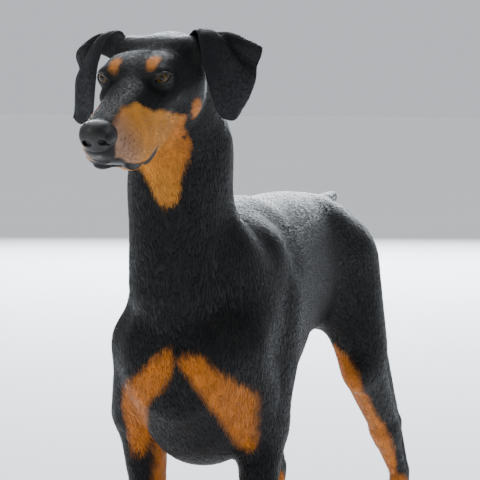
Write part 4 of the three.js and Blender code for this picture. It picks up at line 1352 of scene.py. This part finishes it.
def claw_material():
    made, nodes, links, shader = new_material("horn_claw")
    grain = noise(nodes, links, 300.0)
    ramp = nodes.new("ShaderNodeValToRGB")
    ramp.color_ramp.elements[0].color = (0.012, 0.010, 0.009, 1)
    ramp.color_ramp.elements[1].color = (0.055, 0.045, 0.038, 1)
    links.new(grain.outputs["Fac"], ramp.inputs["Fac"])
    links.new(ramp.outputs["Color"], shader.inputs["Base Color"])
    links.new(ranged(nodes, links, grain.outputs["Fac"], 0.28, 0.45), shader.inputs["Roughness"])
    bump(nodes, links, grain.outputs["Fac"], 0.3, 0.0003, shader)
    return made


skin.data.materials.append(coat_material("skin_tones", True))
tuft_material = coat_material("hair_tones", False)
for piece in coat:
    piece.data.materials.append(tuft_material)
nose.data.materials.append(leather_material("nose_grain", (0.008, 0.008, 0.009), 1100.0, 0.0005, 0.42))
rims.data.materials.append(leather_material("lid_edge", (0.009, 0.008, 0.008), 900.0, 0.0002, 0.30))
wet_eye = eye_material()
for made in eyes.values():
    made.data.materials.append(wet_eye)
claws.data.materials.append(claw_material())

# What each piece rides on, and the solids that the pieces replace, which are hidden
flesh = ["head", "neck", "trunk", "tail"]
for word in ("left", "right"):
    flesh += [f"{word}_ear", f"{word}_front_leg", f"{word}_hind_leg", f"{word}_front_paw", f"{word}_hind_paw"]
claw_nodes = [
    f"{word}_{end}_claw_{number}"
    for word in ("left", "right") for end in ("front", "hind") for number in (1, 2, 3, 4)
]
for piece in [skin, nose, rims, claws] + coat + list(eyes.values()):
    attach(piece, "root")
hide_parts(*flesh)
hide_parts("nose")
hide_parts("left_eye")
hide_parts("right_eye")
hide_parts(*claw_nodes)

# Floor, light and camera
floor_mesh = bpy.data.meshes.new("floor")
floor_size = 40.0
floor_corners = [(x * floor_size, y * floor_size, 0) for x, y in ((-1, -1), (1, -1), (1, 1), (-1, 1))]
floor_mesh.from_pydata(floor_corners, [], [(0, 1, 2, 3)])
floor = bpy.data.objects.new("floor", floor_mesh)
bpy.context.scene.collection.objects.link(floor)
floor_look, floor_nodes, floor_links, floor_shader = new_material("pale_floor")
floor_tint = noise(floor_nodes, floor_links, 1.5)
floor_ramp = floor_nodes.new("ShaderNodeValToRGB")
floor_ramp.color_ramp.elements[0].color = (0.80, 0.81, 0.82, 1)
floor_ramp.color_ramp.elements[1].color = (0.84, 0.845, 0.85, 1)
floor_links.new(floor_tint.outputs["Fac"], floor_ramp.inputs["Fac"])
floor_links.new(floor_ramp.outputs["Color"], floor_shader.inputs["Base Color"])
floor_shader.inputs["Roughness"].default_value = 0.85
floor_mesh.materials.append(floor_look)

world = bpy.data.worlds.new("studio")
bpy.context.scene.world = world
world.use_nodes = True
backdrop = world.node_tree.nodes["Background"]
backdrop.inputs["Color"].default_value = (0.84, 0.88, 0.94, 1)
# The studio is pale behind the dog and dim behind the viewer, so the breast stays dark
around = world.node_tree.nodes.new("ShaderNodeTexCoord")
toward_back = world.node_tree.nodes.new("ShaderNodeVectorMath")
toward_back.operation = "DOT_PRODUCT"
toward_back.inputs[1].default_value = (-0.357, 0.934, 0.0)
world.node_tree.links.new(around.outputs["Generated"], toward_back.inputs[0])
glow = ranged(world.node_tree.nodes, world.node_tree.links, toward_back.outputs["Value"], 0.16, 0.74)
world.node_tree.links.new(glow, backdrop.inputs["Strength"])


def soft_light(name, place, aim, size, power, colour):
    data = bpy.data.lights.new(name, "AREA")
    data.shape = "SQUARE"
    data.size = size
    data.energy = power
    data.color = colour
    made = bpy.data.objects.new(name, data)
    made.location = place
    made.rotation_mode = "QUATERNION"
    made.rotation_quaternion = (Vector(aim) - Vector(place)).to_track_quat("-Z", "Y")
    made.visible_camera = False
    bpy.context.scene.collection.objects.link(made)


soft_light("sky_light", (-2.2, 6.4, 3.2), (0, 0, 0.6), 4.5, 1300, (0.88, 0.94, 1.0))
soft_light("front_light", (-1.8, -2.6, 2.3), (0, -0.2, 0.6), 1.3, 34, (1.0, 0.97, 0.92))
soft_light("side_light", (2.8, -0.6, 1.6), (0, 0, 0.5), 1.4, 10, (1.0, 0.98, 0.95))

# One very wide sun above and behind lights the floor evenly and silvers the back
sun_data = bpy.data.lights.new("high_sun", "SUN")
sun_data.energy = 2.0
sun_data.angle = math.radians(40)
sun_data.color = (0.94, 0.97, 1.0)
high_sun = bpy.data.objects.new("high_sun", sun_data)
high_sun.rotation_mode = "QUATERNION"
high_sun.rotation_quaternion = Vector((0.35, -0.8, -2.2)).to_track_quat("-Z", "Y")
bpy.context.scene.collection.objects.link(high_sun)

azimuth = math.radians(20.9)
elevation = math.radians(4.4)
back = Vector((
    math.sin(azimuth) * math.cos(elevation),
    -math.cos(azimuth) * math.cos(elevation),
    math.sin(elevation),
))
camera_data = bpy.data.cameras.new("camera")
camera_data.sensor_width = 36.0
camera_data.lens = 158.4
camera_data.clip_start = 0.05
camera_data.clip_end = 200.0
camera = bpy.data.objects.new("camera", camera_data)
camera.location = (1.0407, -2.7104, 0.8259)
camera.rotation_mode = "QUATERNION"
camera.rotation_quaternion = (-back).to_track_quat("-Z", "Y")
bpy.context.scene.collection.objects.link(camera)
bpy.context.scene.camera = camera
